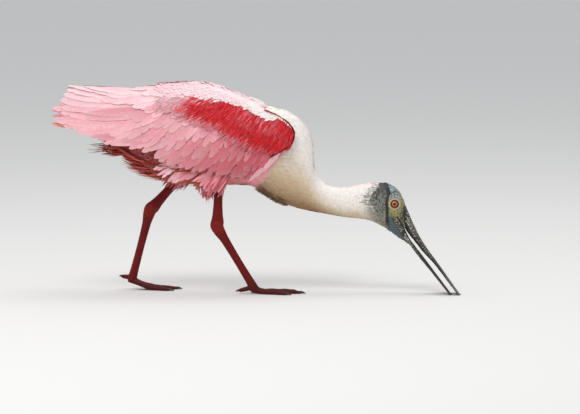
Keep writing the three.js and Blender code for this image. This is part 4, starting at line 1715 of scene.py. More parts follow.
@dataclass
class Coat:
    """The small feathers of the torso and neck."""

    plans: tuple = COATS
    saddle_count: int = 2600
    fringe_count: int = 460

    def build(self) -> list[Piece]:
        """Mantle, belly and neck coats.

        Returns:
            The coats.
        """
        rng, pieces = chances("coat"), []
        for index, (name, low, high, pitch, lie, form, look) in enumerate(self.plans):
            s, a = scatter(low, high, pitch, rng)
            keep = Markings.hood_edge(BODY.at(s, a)) < rng.normal(1.0, 1.3, len(s))
            s, a = s[keep], a[keep]
            laid = body_feathers(s, a, lie, rng)
            if high > 16:
                past = Markings.hood_edge(BODY.at(s, a)) + rng.normal(0, 4, len(s))
                dark = smooth(-9, -1, past) * rng.uniform(0.3, 1, len(s))
                laid.tint = blend(laid.tint, Palette.SLATE, dark)
            made = laid.build(name, Vane(form), look, 0.0002, seed=index + 2)
            pieces.append(Piece(made, "white_feathers" if index else "mantle"))
        count = self.saddle_count
        s, a = rng.uniform(0.9, 6.8, count), rng.normal(0, 0.26, count).clip(-0.6, 0.6)
        laid = body_feathers(s, a, Lie(20, 3.6, 1.0, 5.0, 0.08, 0.2), rng)
        made = laid.build("saddle", Vane(VaneForm.CONTOUR), CONTOUR_LOOK, 0.0004, seed=9)
        pieces.append(Piece(made, "mantle"))
        count = self.fringe_count
        s = rng.uniform(6.9, 9.2, count)
        a = math.pi + rng.normal(0, 0.24, count).clip(-0.5, 0.5)
        laid = body_feathers(s, a, Lie(12, 1.0, -1.0, 3.6, 0.2, 0.2), rng, Markings.breast)
        made = laid.build("breast_fringe", Vane(VaneForm.STRAND, 0.8), NECK_LOOK, 0.0008)
        return [*pieces, Piece(made, "white_feathers")]


@dataclass
class FoldedWing:
    """One folded wing's flight feathers, coverts and shoulder patch."""

    side: int
    strand_count: int = 2600
    cloak_count: int = 5000
    rim_count: int = 150

    @property
    def name(self) -> str:
        """The wing's name in the frame."""
        return "wing_left" if self.side > 0 else "wing_right"

    def flesh(self) -> Piece:
        """The thin flesh of the folded wing, hidden by its feathers.

        Returns:
            The flesh.
        """
        x, t = np.meshgrid(np.linspace(60, -205, 60), np.linspace(0, 1, 16), indexing="ij")
        r = WING.read(x)
        top = WING.angle_at(x, r[..., WING_TOP])
        angle = top + (WING.angle_at(x, r[..., WING_LOW] + 8) - top) * t
        full = 1 - np.abs(2 * t - 1) ** 4
        outer = WING.point(x, angle, -2.4 - 2.5 * (1 - full), self.side)
        inner = WING.point(x, angle, -5.0 - 6 * full, self.side)
        points, faces = lofted(np.concatenate([outer, inner[:, ::-1]], axis=1))
        made = mesh_object(f"{self.name}_flesh", world(points), faces)
        tint, bake = (
            capped(np.concatenate([rows, rows[:, ::-1]], axis=1))
            for rows in (Markings.wing(x, outer[..., 2]), wing_bake(x, angle, self.side))
        )
        dressed(made, SkinFinish(), tint=tint)
        set_uv(made.data, bake)
        return Piece(made, "pink_feathers", (self.name,))

    def strands(
        self, roots: Array, slope: Array, length: Array, width: Array,
        lift: tuple[float, float], rng: Rng, **lay: object,
    ) -> Tract:
        """Narrow feathers that run back and down from their roots at a slope in radians."""
        tips = roots - length[:, None] * table(np.cos(slope), np.sin(slope))
        return wing_feathers(self.side, roots, tips, width, lift, rng, **lay)

    def shoulder(self, rng: Rng) -> Tract:
        """Long narrow strands over the shoulder, streaked into carmine.

        Args:
            rng: The random draws.

        Returns:
            The strands.
        """
        x = rng.uniform(-132, 63, self.strand_count)
        top, low = np.interp(x, PATCH_X, PATCH_TOP), np.interp(x, PATCH_X, PATCH_LOW)
        z = low + 6 + (top + 2 - low) * rng.uniform(0, 1, len(x))
        bound = WING.read(x)
        keep = (z < bound[:, WING_TOP] + 1) & (z > bound[:, WING_LOW] + 6)
        x, z, top, count = x[keep], z[keep], top[keep], keep.sum()
        slope = np.radians(np.interp(x, [-120, -60, 0, 62], [24, 34, 50, 66]))
        slope = slope + rng.normal(0, 0.06, count)
        length = rng.uniform(20, 34, count) * np.interp(x, [20, 62], [1, 0.6])
        width = rng.uniform(1.2, 2.2, count)
        laid = self.strands(
            table(x, z), slope, length, width, (-0.6, 2.6), rng, thick=0.25, seen=0.45
        )
        bloom = bell(x - 14, 34) * smooth(top - 26, top - 8, z) * 0.55
        bloom = (bloom + 0.16) * rng.uniform(0, 1, count) ** 1.5
        laid.tint = blend(laid.tint, Palette.PINK, bloom) * rng.uniform(0.72, 1.0, (count, 1))
        return laid

    def cloak(self, rng: Rng) -> Tract:
        """Fine pale feathers between the back's top and the carmine patch.

        Args:
            rng: The random draws.

        Returns:
            The feathers.
        """
        x = rng.uniform(-150, 32, self.cloak_count)
        top = WING.read(x)[..., WING_TOP]
        edge = np.interp(x, PATCH_X, PATCH_TOP) + 3 + rng.normal(0, 2.5, len(x))
        z = edge + (top + 0.5 - edge) * rng.uniform(0, 1, len(x)) ** 0.9
        keep = (z > edge) & (z < top + 1) & (rng.uniform(-160, -80, len(x)) < x)
        x, z, count = x[keep], z[keep], keep.sum()
        slope = np.radians(np.interp(x, [-120, 50], [6, 34])) + rng.normal(0, 0.08, count)
        length = rng.uniform(12, 20, count)
        roots = table(x + 5, np.minimum(z + 1, WING.read(x + 5)[..., WING_TOP] + 0.5))
        width = rng.uniform(1.8, 3.0, count)
        return self.strands(
            roots, slope, length, width, (-0.4, 3.0), rng,
            tilt=0.08, thick=0.2, seen=0.2, colour=Markings.cloak,
        )

    def edge(self, rng: Rng) -> Tract:
        """The rim of tiny feathers along the wrist, dark as painted shadow along the wing's proud
        front edge.

        Args:
            rng: The random draws.

        Returns:
            The feathers.
        """
        line, count = np.array(WRIST_LINE, float), self.rim_count
        last = len(line) - 1
        t = np.sort(rng.uniform(0, last - 0.2, count))
        roots = catmull(line, t) + rng.normal(0, 0.35, (count, 2))
        tips = catmull(line, np.minimum(t + 0.55, last)) + rng.normal(0, 0.5, (count, 2))
        width = rng.uniform(0.6, 1.1, count)
        return wing_feathers(
            self.side, roots, tips, width, (0.6, 3.0), rng, colour=Markings.wrist, thick=0.3
        )

    def build(self) -> list[Piece]:
        """The wing's pieces.

        Returns:
            The flesh and the feathers.
        """
        rng, seed = chances(self.name), SEEDS[self.name]
        pieces = [self.flesh()]
        for index, tier in enumerate(WING_TIERS):
            vane = Vane(VaneForm.FLIGHT, tier.point, tier.fray, 0.16, seed + index)
            laid, name = tier.laid(self.side, rng), f"{self.name}_{tier.name}"
            made = laid.build(name, vane, PLAIN, 0.0, 0.06, index + 1)
            pieces.append(Piece(made, "pink_feathers"))
        narrow = Vane(VaneForm.STRAND, point=0.6, sweep=0.05)
        broad = Vane(VaneForm.STRAND, point=0.2, sweep=0.1)
        for lay, name, vane, look, ruffle, sway, slot in (
            (self.shoulder, "shoulder", narrow, SHOULDER_LOOK, 0.0003, 9, "carmine_feathers"),
            (self.edge, "rim", narrow, SHOULDER_LOOK, 0.0, 1, "carmine_feathers"),
            (self.cloak, "cloak", broad, CLOAK_LOOK, 0.0002, 10, "mantle"),
        ):
            made = lay(rng).build(f"{self.name}_{name}", vane, look, ruffle, seed=sway)
            pieces.append(Piece(made, slot))
        return pieces


@dataclass
class Tail:
    """The closed salmon tail fan, the dark red feathers under it and the rump."""

    count: int = 12
    length: float = 98
    half: float = 9
    spread: float = 15
    rise: float = 11
    under_count: int = 420
    spike_count: int = 36
    vent_count: int = 90
    roof_count: int = 70
    stack_count: int = 64

    def fan(self) -> Piece:
        """The tail's own feathers.

        Returns:
            The feathers.
        """
        k = np.linspace(-1, 1, self.count)
        high = 261 - 3.2 * np.abs(k)
        reach = self.length * (1 - 0.05 * k**2)
        tip = table(-229 - reach, self.spread * k, high + self.rise)
        out = unit(table(0.0, 0.14 * np.sign(k), 1.0))
        root = table(-228.0, 7 * k, high)
        tract = straight_feathers(root, tip, out, self.half, Palette.SALMON, 2.0)
        vane = Vane(VaneForm.FLIGHT, fray=0.2, sweep=0.1, seed=4)
        return Piece(tract.build("tail_fan", vane, TAIL_LOOK), "salmon_feathers", ("tail",))

    def under(self) -> Piece:
        """Pointed dark red feathers from the belly to under the tail.

        Returns:
            The feathers.
        """
        rng, count = chances("undertail"), self.under_count
        s, a = rng.uniform(0.1, 4.6, count), math.pi + rng.normal(0, 0.55, count)
        root, out = BODY.at(s, a, -1.5), BODY.normal(s, a)
        length = rng.uniform(26, 50, count) * (1 - 0.35 * smooth(1.8, 4.6, s))
        lean = table(-1.0, rng.normal(0, 0.1, count), 0.18 + 0.22 * smooth(3, 0, s))
        flat = unit(lean - 0.75 * dot(lean, out) * out)
        tip = root + flat * length[:, None] + out * rng.uniform(2, 8, (count, 1))
        share = rng.uniform(0, 1, count)
        middle = smooth(0.8, 3.0, s) * smooth(0.9, 0.2, np.abs(a - math.pi))
        tint = layered(
            Palette.WINE,
            (Palette.ROSE, smooth(0.5, 1.0, share) * 0.8),
            (Palette.RUSSET, smooth(1.0, 4.6, s) * 0.7),
            (Palette.CORAL, np.maximum(smooth(0.3, 0.8, share), middle) * 0.6),
        )
        width = rng.uniform(1.8, 3.6, count)
        tracts = [straight_feathers(root, tip, out, width, tint, 1.5)]
        count = self.spike_count
        root = cloud(rng, count, (-226, -196), (-14, 14), (224, 246))
        reach = rng.uniform(-274, -238, count)
        tip = table(reach, root[:, 1] * 1.1, rng.uniform(222, 240, count))
        tint = blend(Palette.WINE * 0.6, Palette.RUSSET, rng.uniform(0, 0.8, count))
        width = rng.uniform(1.2, 2.4, count)
        tracts.append(straight_feathers(root, tip, DOWN, width, tint, 2.0))
        count = self.vent_count
        root = cloud(rng, count, (-216, -176), (-22, 22), (222, 252))
        reach = rng.uniform(-44, -28, count)
        tip = root + table(reach, -0.2 * root[:, 1], rng.uniform(-7, 4, count))
        tint = blend(Palette.WINE, Palette.RUSSET, rng.uniform(0, 0.7, count))
        out, width = unit(table(0.0, 0.05 * root[:, 1], -1.0)), rng.uniform(2.4, 4.2, count)
        tracts.append(straight_feathers(root, tip, out, width, tint, 1.5))
        vane = Vane(VaneForm.COVERT, point=0.85, sweep=0.05)
        made = Tract.joined(tracts).build("undertail", vane, UNDERTAIL_LOOK, 0.0012, 0.2)
        return Piece(made, "carmine_feathers", ("undertail_coverts",))

    def rump(self) -> Piece:
        """Long pale feathers that close the back between the folded wings.

        Returns:
            The feathers.
        """
        rng, count = chances("rump"), self.roof_count
        start = rng.uniform(-205, -88, count)
        stop = start - rng.uniform(62, 84, count)
        y = rng.uniform(-23, 23, count)
        root = table(start, y, WING.read(start)[..., WING_TOP] - 0.5 - 0.006 * y * y)
        crown = np.maximum(WING.read(stop)[..., WING_TOP], 318 + 0.04 * (stop + 290))
        tip = table(stop, y * 0.8, crown + rng.uniform(-2, 1, count))
        tint = blend(Palette.PALE_PINK, Palette.BLUSH, rng.uniform(0, 1, count))
        out, width = unit(table(0.0, 0.01 * y, 1.0)), rng.uniform(6, 9, count)
        cover = straight_feathers(root, tip, out, width, tint, 1.5)
        count = self.stack_count
        side, high = np.where(np.arange(count) % 2 == 0, 1.0, -1.0), rng.uniform(0, 1, count)
        root = table(-185.0, side * rng.uniform(8, 20, count), 262 + 50 * high)
        reach = rng.uniform(-300, -245, count)
        tip = table(reach, side * rng.uniform(0, 12, count), 270 + 44 * high)
        tint = blend(Palette.PALE_PINK, Palette.PINK, rng.uniform(0, 1, count))
        out, width = unit(table(0.0, side, 0.6)), rng.uniform(7, 10, count)
        stack = straight_feathers(root, tip, out, width, tint, 1.5)
        vane = Vane(VaneForm.FLIGHT, 0.2, 0.4, 0.12, 8)
        made = Tract.joined([cover, stack]).build("rump", vane, PLAIN, 0.0006, seed=21)
        return Piece(made, "pink_feathers")

    def build(self) -> list[Piece]:
        """The fan, the undertail and the rump."""
        return [self.fan(), self.under(), self.rump()]


def tube(points: Array, stations: tuple, sides: int, steps: int) -> Array:
    """Rings of an oval limb along a smooth path.

    Args:
        points: the path's points in millimetres.
        stations: share of the length, fore-aft radius and sideways radius.
        sides: points in a ring.
        steps: rings along the limb.

    Returns:
        Rings of points.
    """
    dense = catmull(points, np.linspace(0, len(points) - 1, 200))
    run = np.concatenate([[0], np.cumsum(np.linalg.norm(np.diff(dense, axis=0), axis=1))])
    share = np.linspace(0, 1, steps)
    centre = table(*[np.interp(share * run[-1], run, column) for column in dense.T])
    ahead = unit(np.gradient(centre, axis=0))
    side = np.array([0.0, 1, 0])
    across = unit(side - dot(side, ahead) * ahead)
    rows = np.array(stations, float)
    radii = catmull(rows[:, 1:], np.interp(share, rows[:, 0], np.arange(len(rows))))
    fore, aside = np.cross(across, ahead) * radii[:, :1], across * radii[:, 1:]
    turn = turns(sides)[None, :, None]
    return centre[:, None] + np.cos(turn) * fore[:, None] + np.sin(turn) * aside[:, None]


@dataclass
class Leg:
    """One leg below the thigh: shin, ankle, foot, toes and claws."""

    name: str
    side: int
    thigh: Array
    knee: Array
    ankle: Array
    toes: Array
    hallux: Array
    lift: float
    middle_toe: float = 72
    spread: tuple = ((-24, 0.76), (-1, 1.0), (22, 0.9))
    voxel: float = 0.9
    scale_pitch: float = 3.1
    scales_around: int = 11
    scale_height: float = 0.32

    def __post_init__(self) -> None:
        """Makes the joints ready for reckoning and finds both lengths' directions."""
        for key in ("thigh", "knee", "ankle", "toes", "hallux"):
            setattr(self, key, np.array(getattr(self, key), float))
        self.down, self.up = unit(self.toes - self.ankle), unit(self.knee - self.ankle)
        self.heel = self.ankle + self.down * HALLUX_DOWN

    def thigh_rings(self) -> Array:
        """The thigh's own rings, for the skin."""
        path = np.array([self.thigh, (self.thigh + self.knee) / 2, self.knee])
        return tube(path, THIGH, 28, 20)

    def ahead(self, turn: float) -> Array:
        """The direction of a toe over the floor."""
        yaw = math.radians(turn) * -self.side
        return np.array([math.cos(yaw), math.sin(yaw), 0])

    def toe_path(self, turn: float, length: float) -> Array:
        """Points from the toe joint down to the floor and along it.

        Args:
            turn: The toe's direction.
            length: The toe's length, in mm.

        Returns:
            The points, in order.
        """
        rows = (
            (-4, self.toes[2] + 1), (length * 0.2, 4.2 + self.lift * 0.62),
            (length * 0.5, 3.3 + self.lift * 0.12), (length * 0.8, 2.7), (length, 2.3),
            (length + 9, 0.9),
        )
        return np.array([[*self.toes[:2], z] + self.ahead(turn) * d for d, z in rows])

    def toe_paths(self) -> list[Array]:
        """The three front toes' paths."""
        return [self.toe_path(turn, self.middle_toe * share) for turn, share in self.spread]

    def limbs(self) -> list[Array]:
        """Rings of every length of the leg.

        Returns:
            The rings, a list for each length.
        """
        shank = [
            self.knee + self.up * 14, self.knee, (self.knee + self.ankle) / 2,
            self.ankle + self.up * 9, self.ankle,
        ] + [self.ankle + self.down * run for run in (30, 75, SHIN_LENGTH)]
        back = [self.heel, (self.heel + self.hallux) / 2]
        back.append(self.heel + (self.hallux - self.heel) * 0.8)
        toes = [tube(path[:5], TOE, 20, 60) for path in self.toe_paths()]
        return [tube(np.array(shank), SHANK, 28, 120), *toes, tube(np.array(back), HALLUX, 18, 30)]

    def webs(self) -> list[tuple[Array, list[tuple]]]:
        """The skin between neighbouring toes.

        Returns:
            The webs.
        """
        made, rise = [], np.array([0, 0, 0.9])
        root = np.array([self.toes[0] + 1, self.toes[1], 3.4 + self.lift])
        t = np.linspace(0, 1, 9)[:, None]
        for pair in zip(self.spread, self.spread[1:]):
            first, second = (
                np.array([*self.toes[:2], 2.6 + self.lift * 0.2])
                + self.ahead(turn) * (self.middle_toe * share * 0.42)
                for turn, share in pair
            )
            bend = (first + second) / 2 * 0.7 + root * 0.3
            edge = (1 - t) ** 2 * first + 2 * t * (1 - t) * bend + t**2 * second
            near = root + (edge - root) * 0.12
            ring = np.stack([near + rise, edge + rise, edge - rise, near - rise], axis=1)
            made.append(lofted(ring))
        return made

    def claws(self) -> tuple[Array, list[tuple]]:
        """The horny claws at the toes' ends.

        Returns:
            The claws.
        """
        ends = [(path[4], path[5]) for path in self.toe_paths()]
        ends.append((self.heel + (self.hallux - self.heel) * 0.74, self.hallux))
        shapes = []
        for back, front in ends:
            start = back + (back - front) * 0.2
            path = np.array([start, (start + front) / 2 + 0.8 * UP, front])
            rings = tube(path, CLAW, 14, 14)
            rings[..., 2] = np.maximum(rings[..., 2], FLOOR_GAP)
            shapes.append(lofted(rings))
        return merged(shapes)

    def scales(self, p: Array) -> Array:
        """Height of the scale pattern over places on the leg, 0 to 1.

        Args:
            p: Places on the leg.

        Returns:
            One height a place.
        """
        on_shin = dot(p - self.ankle, self.down)[:, 0]
        on_thigh = dot(p - self.ankle, self.up)[:, 0]
        upper = on_thigh > on_shin
        run = np.where(upper, -on_thigh, on_shin)
        axis = np.where(upper[:, None], -self.up, self.down)
        away = p - self.ankle - axis * run[:, None]
        fore = unit(np.array([1.0, 0, 0]) - axis[:, :1] * axis)
        turn = np.arctan2(away[:, 1], dot(away, fore)[:, 0])
        foot = p[:, 2] < self.toes[2] + 3
        reach = np.hypot(p[:, 0] - self.toes[0], p[:, 1] - self.toes[1])
        row = np.where(foot, reach * 1.1, run) / self.scale_pitch
        cell = np.where(foot, p[:, 1] * 0.18, turn) / (2 * math.pi) * self.scales_around
        cell = cell + 0.5 * (np.floor(row) % 2)
        off_row, off_cell = (np.abs((at % 1) - 0.5) * 2 for at in (row, cell))
        return 1 - np.maximum(off_row, off_cell * 0.98) ** 5

    def build(self) -> list[Piece]:
        """The leg's skin and its claws.

        Returns:
            The skin and the claws.
        """
        points, faces = merged([lofted(rings) for rings in self.limbs()] + self.webs())
        rough = mesh_object("rough", points * MM, faces)
        weld = rough.modifiers.new("weld", "REMESH")
        weld.mode, weld.voxel_size = "VOXEL", self.voxel * MM
        rough.modifiers.new("relax", "SMOOTH").iterations = 3
        leg = settled(rough, f"leg_{self.name}")
        mesh = leg.data
        place, normal = np.empty((2, len(mesh.vertices) * 3), np.float32)
        mesh.vertices.foreach_get("co", place)
        mesh.vertex_normals.foreach_get("vector", normal)
        place = place.reshape(-1, 3).astype(float) / MM
        height = self.scales(place)
        moved = place + normal.reshape(-1, 3) * (height[:, None] - 0.6) * self.scale_height
        moved[:, 2] = np.maximum(moved[:, 2], 0.02)
        mesh.vertices.foreach_set("co", world(moved).astype(np.float32).ravel())
        turn_out(mesh)
        off = np.abs(dot(place - self.ankle, unit(self.toes - self.knee))[:, 0])
        foot = (Palette.FOOT, smooth(30, 5, place[:, 2]) * 0.7)
        tint = layered(Palette.LEG, foot, (Palette.KNEE, smooth(14, 4, off) * 0.5))
        dressed(leg, ScaleFinish(), tint=tint, cell=height)
        points, faces = self.claws()
        claws = mesh_object(f"claws_{self.name}", world(points), faces)
        dressed(claws, HornFinish(), tint=np.broadcast_to(Palette.CLAW, points.shape))
        nodes = (f"tibia_{self.name}", f"tarsus_{self.name}", f"foot_{self.name}")
        return [Piece(leg, "leg_scales", nodes), Piece(claws, "horn")]


@dataclass
class Flank:
    """Loose feathers under the wings, on the thighs and on the breast."""

    legs: tuple[Leg, ...]
    strip_count: int = 70
    tuft_count: int = 110
    apron_count: int = 26
    stray_count: int = 26
    plans: tuple = LOBES

    def strip(self) -> Piece:
        """Long feathers that wrap from the wrist along the wing's lower edge.

        Returns:
            The feathers.
        """
        rng, tracts, count = chances("flank"), [], self.strip_count
        for side in (-1, 1):
            s, a = rng.uniform(3.0, 5.8, count), side * rng.uniform(1.45, 2.35, count)
            root, out = BODY.at(s, a, -1.0), BODY.normal(s, a)
            lean = table(-1.0, 0.0, -0.75 + 0.6 * smooth(7, 4, s))
            flat = unit(lean - dot(lean, out) * out)
            length = rng.uniform(28, 48, (count, 1))
            tip = root + flat * length + out * rng.uniform(0, 3, (count, 1))
            share = rng.uniform(0, 1, count)
            pale = (Palette.PALE_PINK, smooth(0.6, 1.0, 1 - share) * 0.7)
            tint = layered(Palette.PINK, (Palette.ROSE, share * 0.7), pale)
            width = rng.uniform(3.2, 6.0, count)
            tracts.append(straight_feathers(root, tip, out, width, tint, 2.0))
        vane = Vane(VaneForm.COVERT, point=0.25, sweep=0.12)
        made = Tract.joined(tracts).build("flank", vane, PLAIN, 0.0008, 0.2, 6)
        return Piece(made, "pink_feathers")

    def thighs(self) -> Piece:
        """Drooping tufts round both thighs.

        Returns:
            The feathers.
        """
        rng, tracts, count = chances("thighs"), [], self.tuft_count
        for leg in self.legs:
            t, turn = rng.uniform(0.0, 0.8, count), rng.uniform(0, 2 * math.pi, count)
            axis = leg.knee - leg.thigh
            down = unit(axis)
            fore = unit(np.array([1.0, 0, 0]) - down[0] * down)
            stops, *radii = np.array(THIGH).T
            deep, wide = (np.interp(t, stops, radius)[:, None] for radius in radii)
            front = np.cos(turn)[:, None] * fore
            beside = np.sin(turn)[:, None] * np.cross(down, fore)
            out = unit(front * wide + beside * deep)
            root = leg.thigh + t[:, None] * axis + front * deep + beside * wide
            length = rng.uniform(14, 30, (count, 1))
            lean = unit(down + np.array([-0.45, 0, -0.1]))
            tip = root + lean * length + out * rng.uniform(-2, 2.5, (count, 1))
            share = rng.uniform(0, 1, count)
            pale = (Palette.PALE_PINK, smooth(0.5, 1, share) * 0.8)
            rusty = (Palette.RUSSET, smooth(0.35, 0, share) * 0.8)
            width = rng.uniform(2.0, 4.2, count)
            tint = layered(Palette.ROSE, pale, rusty)
            tracts.append(straight_feathers(root, tip, out, width, tint, 1.0))
        vane = Vane(VaneForm.COVERT, point=0.6, sweep=0.1)
        made = Tract.joined(tracts).build("thigh_feathers", vane, PLAIN, 0.0008, 0.2, 8)
        return Piece(made, "pink_feathers")

    def apron(self) -> Piece:
        """The pale strip that runs from the wrist down along the breast.

        Returns:
            The feathers.
        """
        rng, tracts, count = chances("apron"), [], self.apron_count
        layers = ((4.2, 0.0, 1.6, Palette.PALE_PINK), (3.4, 5.0, 0.6, Palette.ROSE))
        for side in (-1, 1):
            for half, spread, lift, tone in layers:
                t = rng.uniform(0, 1, count)[:, None]
                shift = np.array([-1.0, 0.4]) * spread
                root = along(rng, t, (60, 250), (12, 212), 1.2) + shift
                tip = along(rng, t, (36, 222), (-12, 180), 2.0) + shift
                width = half * rng.uniform(0.6, 1.1, count)
                look = {"thick": 0.3, "colour": plain(tone)}
                tracts.append(wing_feathers(side, root, tip, width, (-1.5, lift), rng, **look))
        vane = Vane(VaneForm.COVERT, 0.3, 0.3, 0.1, 6)
        made = Tract.joined(tracts).build("apron", vane, PLAIN, 0.0004, seed=13)
        return Piece(made, "pink_feathers")

    def lobes(self) -> Piece:
        """Large soft feathers that hang beside the legs.

        Returns:
            The feathers.
        """
        rng, tracts = chances("lobes"), []
        for count, y, a, b, c, d, tone, half in self.plans:
            t = rng.uniform(0, 1, count)[:, None]
            start, end = along(rng, t, a, b, 1.5), along(rng, t, c, d, 3)
            depth = y + rng.uniform(-3, 3, count)
            root = table(start[:, 0], depth + 4, start[:, 1])
            tip = table(end[:, 0], depth, end[:, 1])
            out = unit(np.array([0.0, -1, 0]) + rng.normal(0, 0.2, (count, 3)))
            tint = tone * rng.uniform(0.85, 1.05, (count, 1))
            width = half * rng.uniform(0.7, 1.1, count)
            tracts.append(straight_feathers(root, tip, out, width, tint, 1.5))
        vane = Vane(VaneForm.FLIGHT, 0.35, 0.5, 0.1, 3)
        made = Tract.joined(tracts).build("leg_lobes", vane, PLAIN, 0.0008, 0.15, 12)
        return Piece(made, "pink_feathers")

    def stray(self) -> Piece:
        """A few carmine strands of the far shoulder that stand over the back.

        Returns:
            The strands.
        """
        rng, count = chances("far_strands"), self.stray_count
        root = cloud(rng, count, (-76, -52), (6, 20), (317, 321))
        reach = cloud(rng, count, (-24, -16), (-6, 0), (10, 15))
        width = rng.uniform(0.9, 1.6, count)
        tract = straight_feathers(root, root + reach, UP, width, Palette.CARMINE, 1.0)
        made = tract.build("far_strands", Vane(VaneForm.STRAND, 0.7), SHOULDER_LOOK, 0.0003)
        return Piece(made, "carmine_feathers")

    def build(self) -> list[Piece]:
        """All of the loose feathers."""
        return [self.strip(), self.apron(), self.thighs(), self.lobes(), self.stray()]


@dataclass(frozen=True)
class Beads:
    """How the rows of bumps on one part look."""

    light: Array
    dark: Array
    lift: float
    pace: float
    stretch: float
    thick: float

    def laid(
        self, ribs: Ribs, s: Array, a: Array, size: Array, rng: Rng,
        bake: Array | None = None,
    ) -> Tract:
        """Bumps over the ribs' surface.

        Args:
            ribs: the part they sit on.
            s: their stations.
            a: their angles.
            size: their half lengths.
            rng: source of their colours.
            bake: places on the baking map, or none for the bill's own corner.

        Returns:
            The bumps.
        """
        ahead = unit(ribs.at(s + self.pace, a) - ribs.at(s - self.pace, a))
        across = unit(np.cross(ribs.normal(s, a), ahead))
        p, half = ribs.at(s, a, self.lift, BILL_SQUARE), ahead * size[:, None] * self.stretch
        root, tip = swing(p - half), swing(p + half)
        tint = blend(self.light, self.dark, rng.uniform(0, 1, len(s)))
        if bake is None:
            bake = table(0.3 + 0.01 * rng.uniform(0, 1, len(s)), 0.99)
        middle, depth = (root + tip) / 2, size * self.thick
        return Tract(root, middle, tip, across, across, size, depth, tint, bake)


@dataclass
class Bill:
    """The long spoon-ended bill, its ridges, bumps and nostrils."""

    around: int = 72
    rings: int = 240
    bump_pitch: float = 2.6
    bead_pitch: float = 3.1

    def half(self, name: str, rows: tuple, upper: bool) -> Piece:
        """One half of the bill.

        Args:
            name: the half's node.
            rows: its ribs.
            upper: whether it is the upper half.

        Returns:
            The finished piece.
        """
        ribs = Ribs(rows)
        s, a = np.meshgrid(np.linspace(0, ribs.last, self.rings), turns(self.around), indexing="ij")
        p = ribs.at(s, a, 0.0, BILL_SQUARE)
        first = p[0].mean(0)
        p[0] = first + (p[0] - first) * 0.85 + 4 * unit(first - p[4].mean(0))
        up = unit(ribs.at(s, np.zeros(s.shape)) - ribs.at(s, np.full(s.shape, math.pi)))
        out = unit(table(0.0, np.sin(a), 0.0) + np.cos(a)[..., None] * up)
        side, near = np.abs(np.sin(a)), smooth(5.5, 2.5, s)
        rough = 0.35 * grain(p, 2.2, 5.5) + 0.45 * grain(p, 6, 2.1)
        shift = 0.5 * np.cos(a * 8) * near * side * 0.6 + rough * (0.35 + 0.65 * near)
        if upper:
            x, z, (steep, flat) = p[..., 0] - NOSTRIL[0], p[..., 2] - NOSTRIL[1], NOSTRIL_SLOPE
            slit = np.hypot(x * steep + z * flat, np.abs(p[..., 1]) - NOSTRIL[2])
            shift = shift - 1.3 * bell(slit, 0.9) * smooth(6, 4.5, np.abs(z * steep - x * flat))
        p = p + out * shift[..., None]
        rim = smooth(0.3, 0.9, grain(p, 3.0, 6.6) + 0.35 * np.cos(a * 8) * side)
        spoon = smooth(ribs.last * 0.55, ribs.last * 0.8, s)
        pale = (Palette.HORN_RIM, rim * near * 0.8)
        tint = layered(Palette.HORN, pale, (Palette.SPOON, spoon * 0.5))
        tint = tint * (0.8 + 0.4 * (grain(p, 5, 8.8) + 0.5))[..., None]
        p[..., 2] = np.maximum(p[..., 2], FLOOR_GAP)
        points, faces = lofted(swing(p))
        made = mesh_object(name + "_horn", world(points), faces)
        dressed(made, HornFinish(), tint=np.clip(capped(tint), 0, 1))
        return Piece(made, "horn", (name,))

    def bumps(self) -> Piece:
        """Rows of pale bumps along the upper bill's and jaw's sides.

        Returns:
            The bumps.
        """
        rng, tracts = chances("bumps"), []
        beads = Beads(Palette.BUMP, Palette.BUMP_DARK, 0.25, 0.05, 1.1, 0.75)
        for rows, low, high, angles in (
            (UPPER_BILL, 0.35, 4.6, (0.85, 1.25, 1.65)), (LOWER_BILL, 0.3, 3.2, (1.3, 1.8))
        ):
            ribs = Ribs(rows)
            reach = np.linalg.norm(ribs.rows[1, :2] - ribs.rows[0, :2])
            count = int((high - low) * reach / self.bump_pitch)
            for angle, side in [(angle, side) for angle in angles for side in (-1, 1)]:
                s = np.linspace(low, high, count) + rng.normal(0, 0.02, count)
                a = side * (angle + rng.normal(0, 0.05, count))
                size = rng.uniform(0.6, 1.4, count) * np.interp(s, [low, high], [1.15, 0.6])
                tracts.append(beads.laid(ribs, s, a, size, rng))
        beads = Beads(Palette.BEAD, Palette.BEAD_DARK, 0.3, 0.03, 1.0, 0.7)
        for row, low, high in ((-2.6, 1, 24), (-5.0, 0, 26), (-7.3, 2, 25), (4.2, 8, 22)):
            run = np.arange(low, high, self.bead_pitch)
            run = run + rng.normal(0, 0.2, len(run))
            s, a = BODY.find(*(MOUTH + run[:, None] * JAW_ALONG + row * JAW_OUT).T)
            for angle in (-a, a):
                size = rng.uniform(0.7, 1.25, len(run))
                tracts.append(beads.laid(BODY, s, angle, size, rng, body_bake(s, angle)))
        made = Tract.joined(tracts).build("bill_bumps", Vane(VaneForm.DOME), HornFinish(), 0, 0)
        return Piece(made, "horn")

    def build(self) -> list[Piece]:
        """Both halves and their bumps."""
        upper = self.half("bill_upper", UPPER_BILL, True)
        return [upper, self.half("bill_lower", LOWER_BILL, False), self.bumps()]


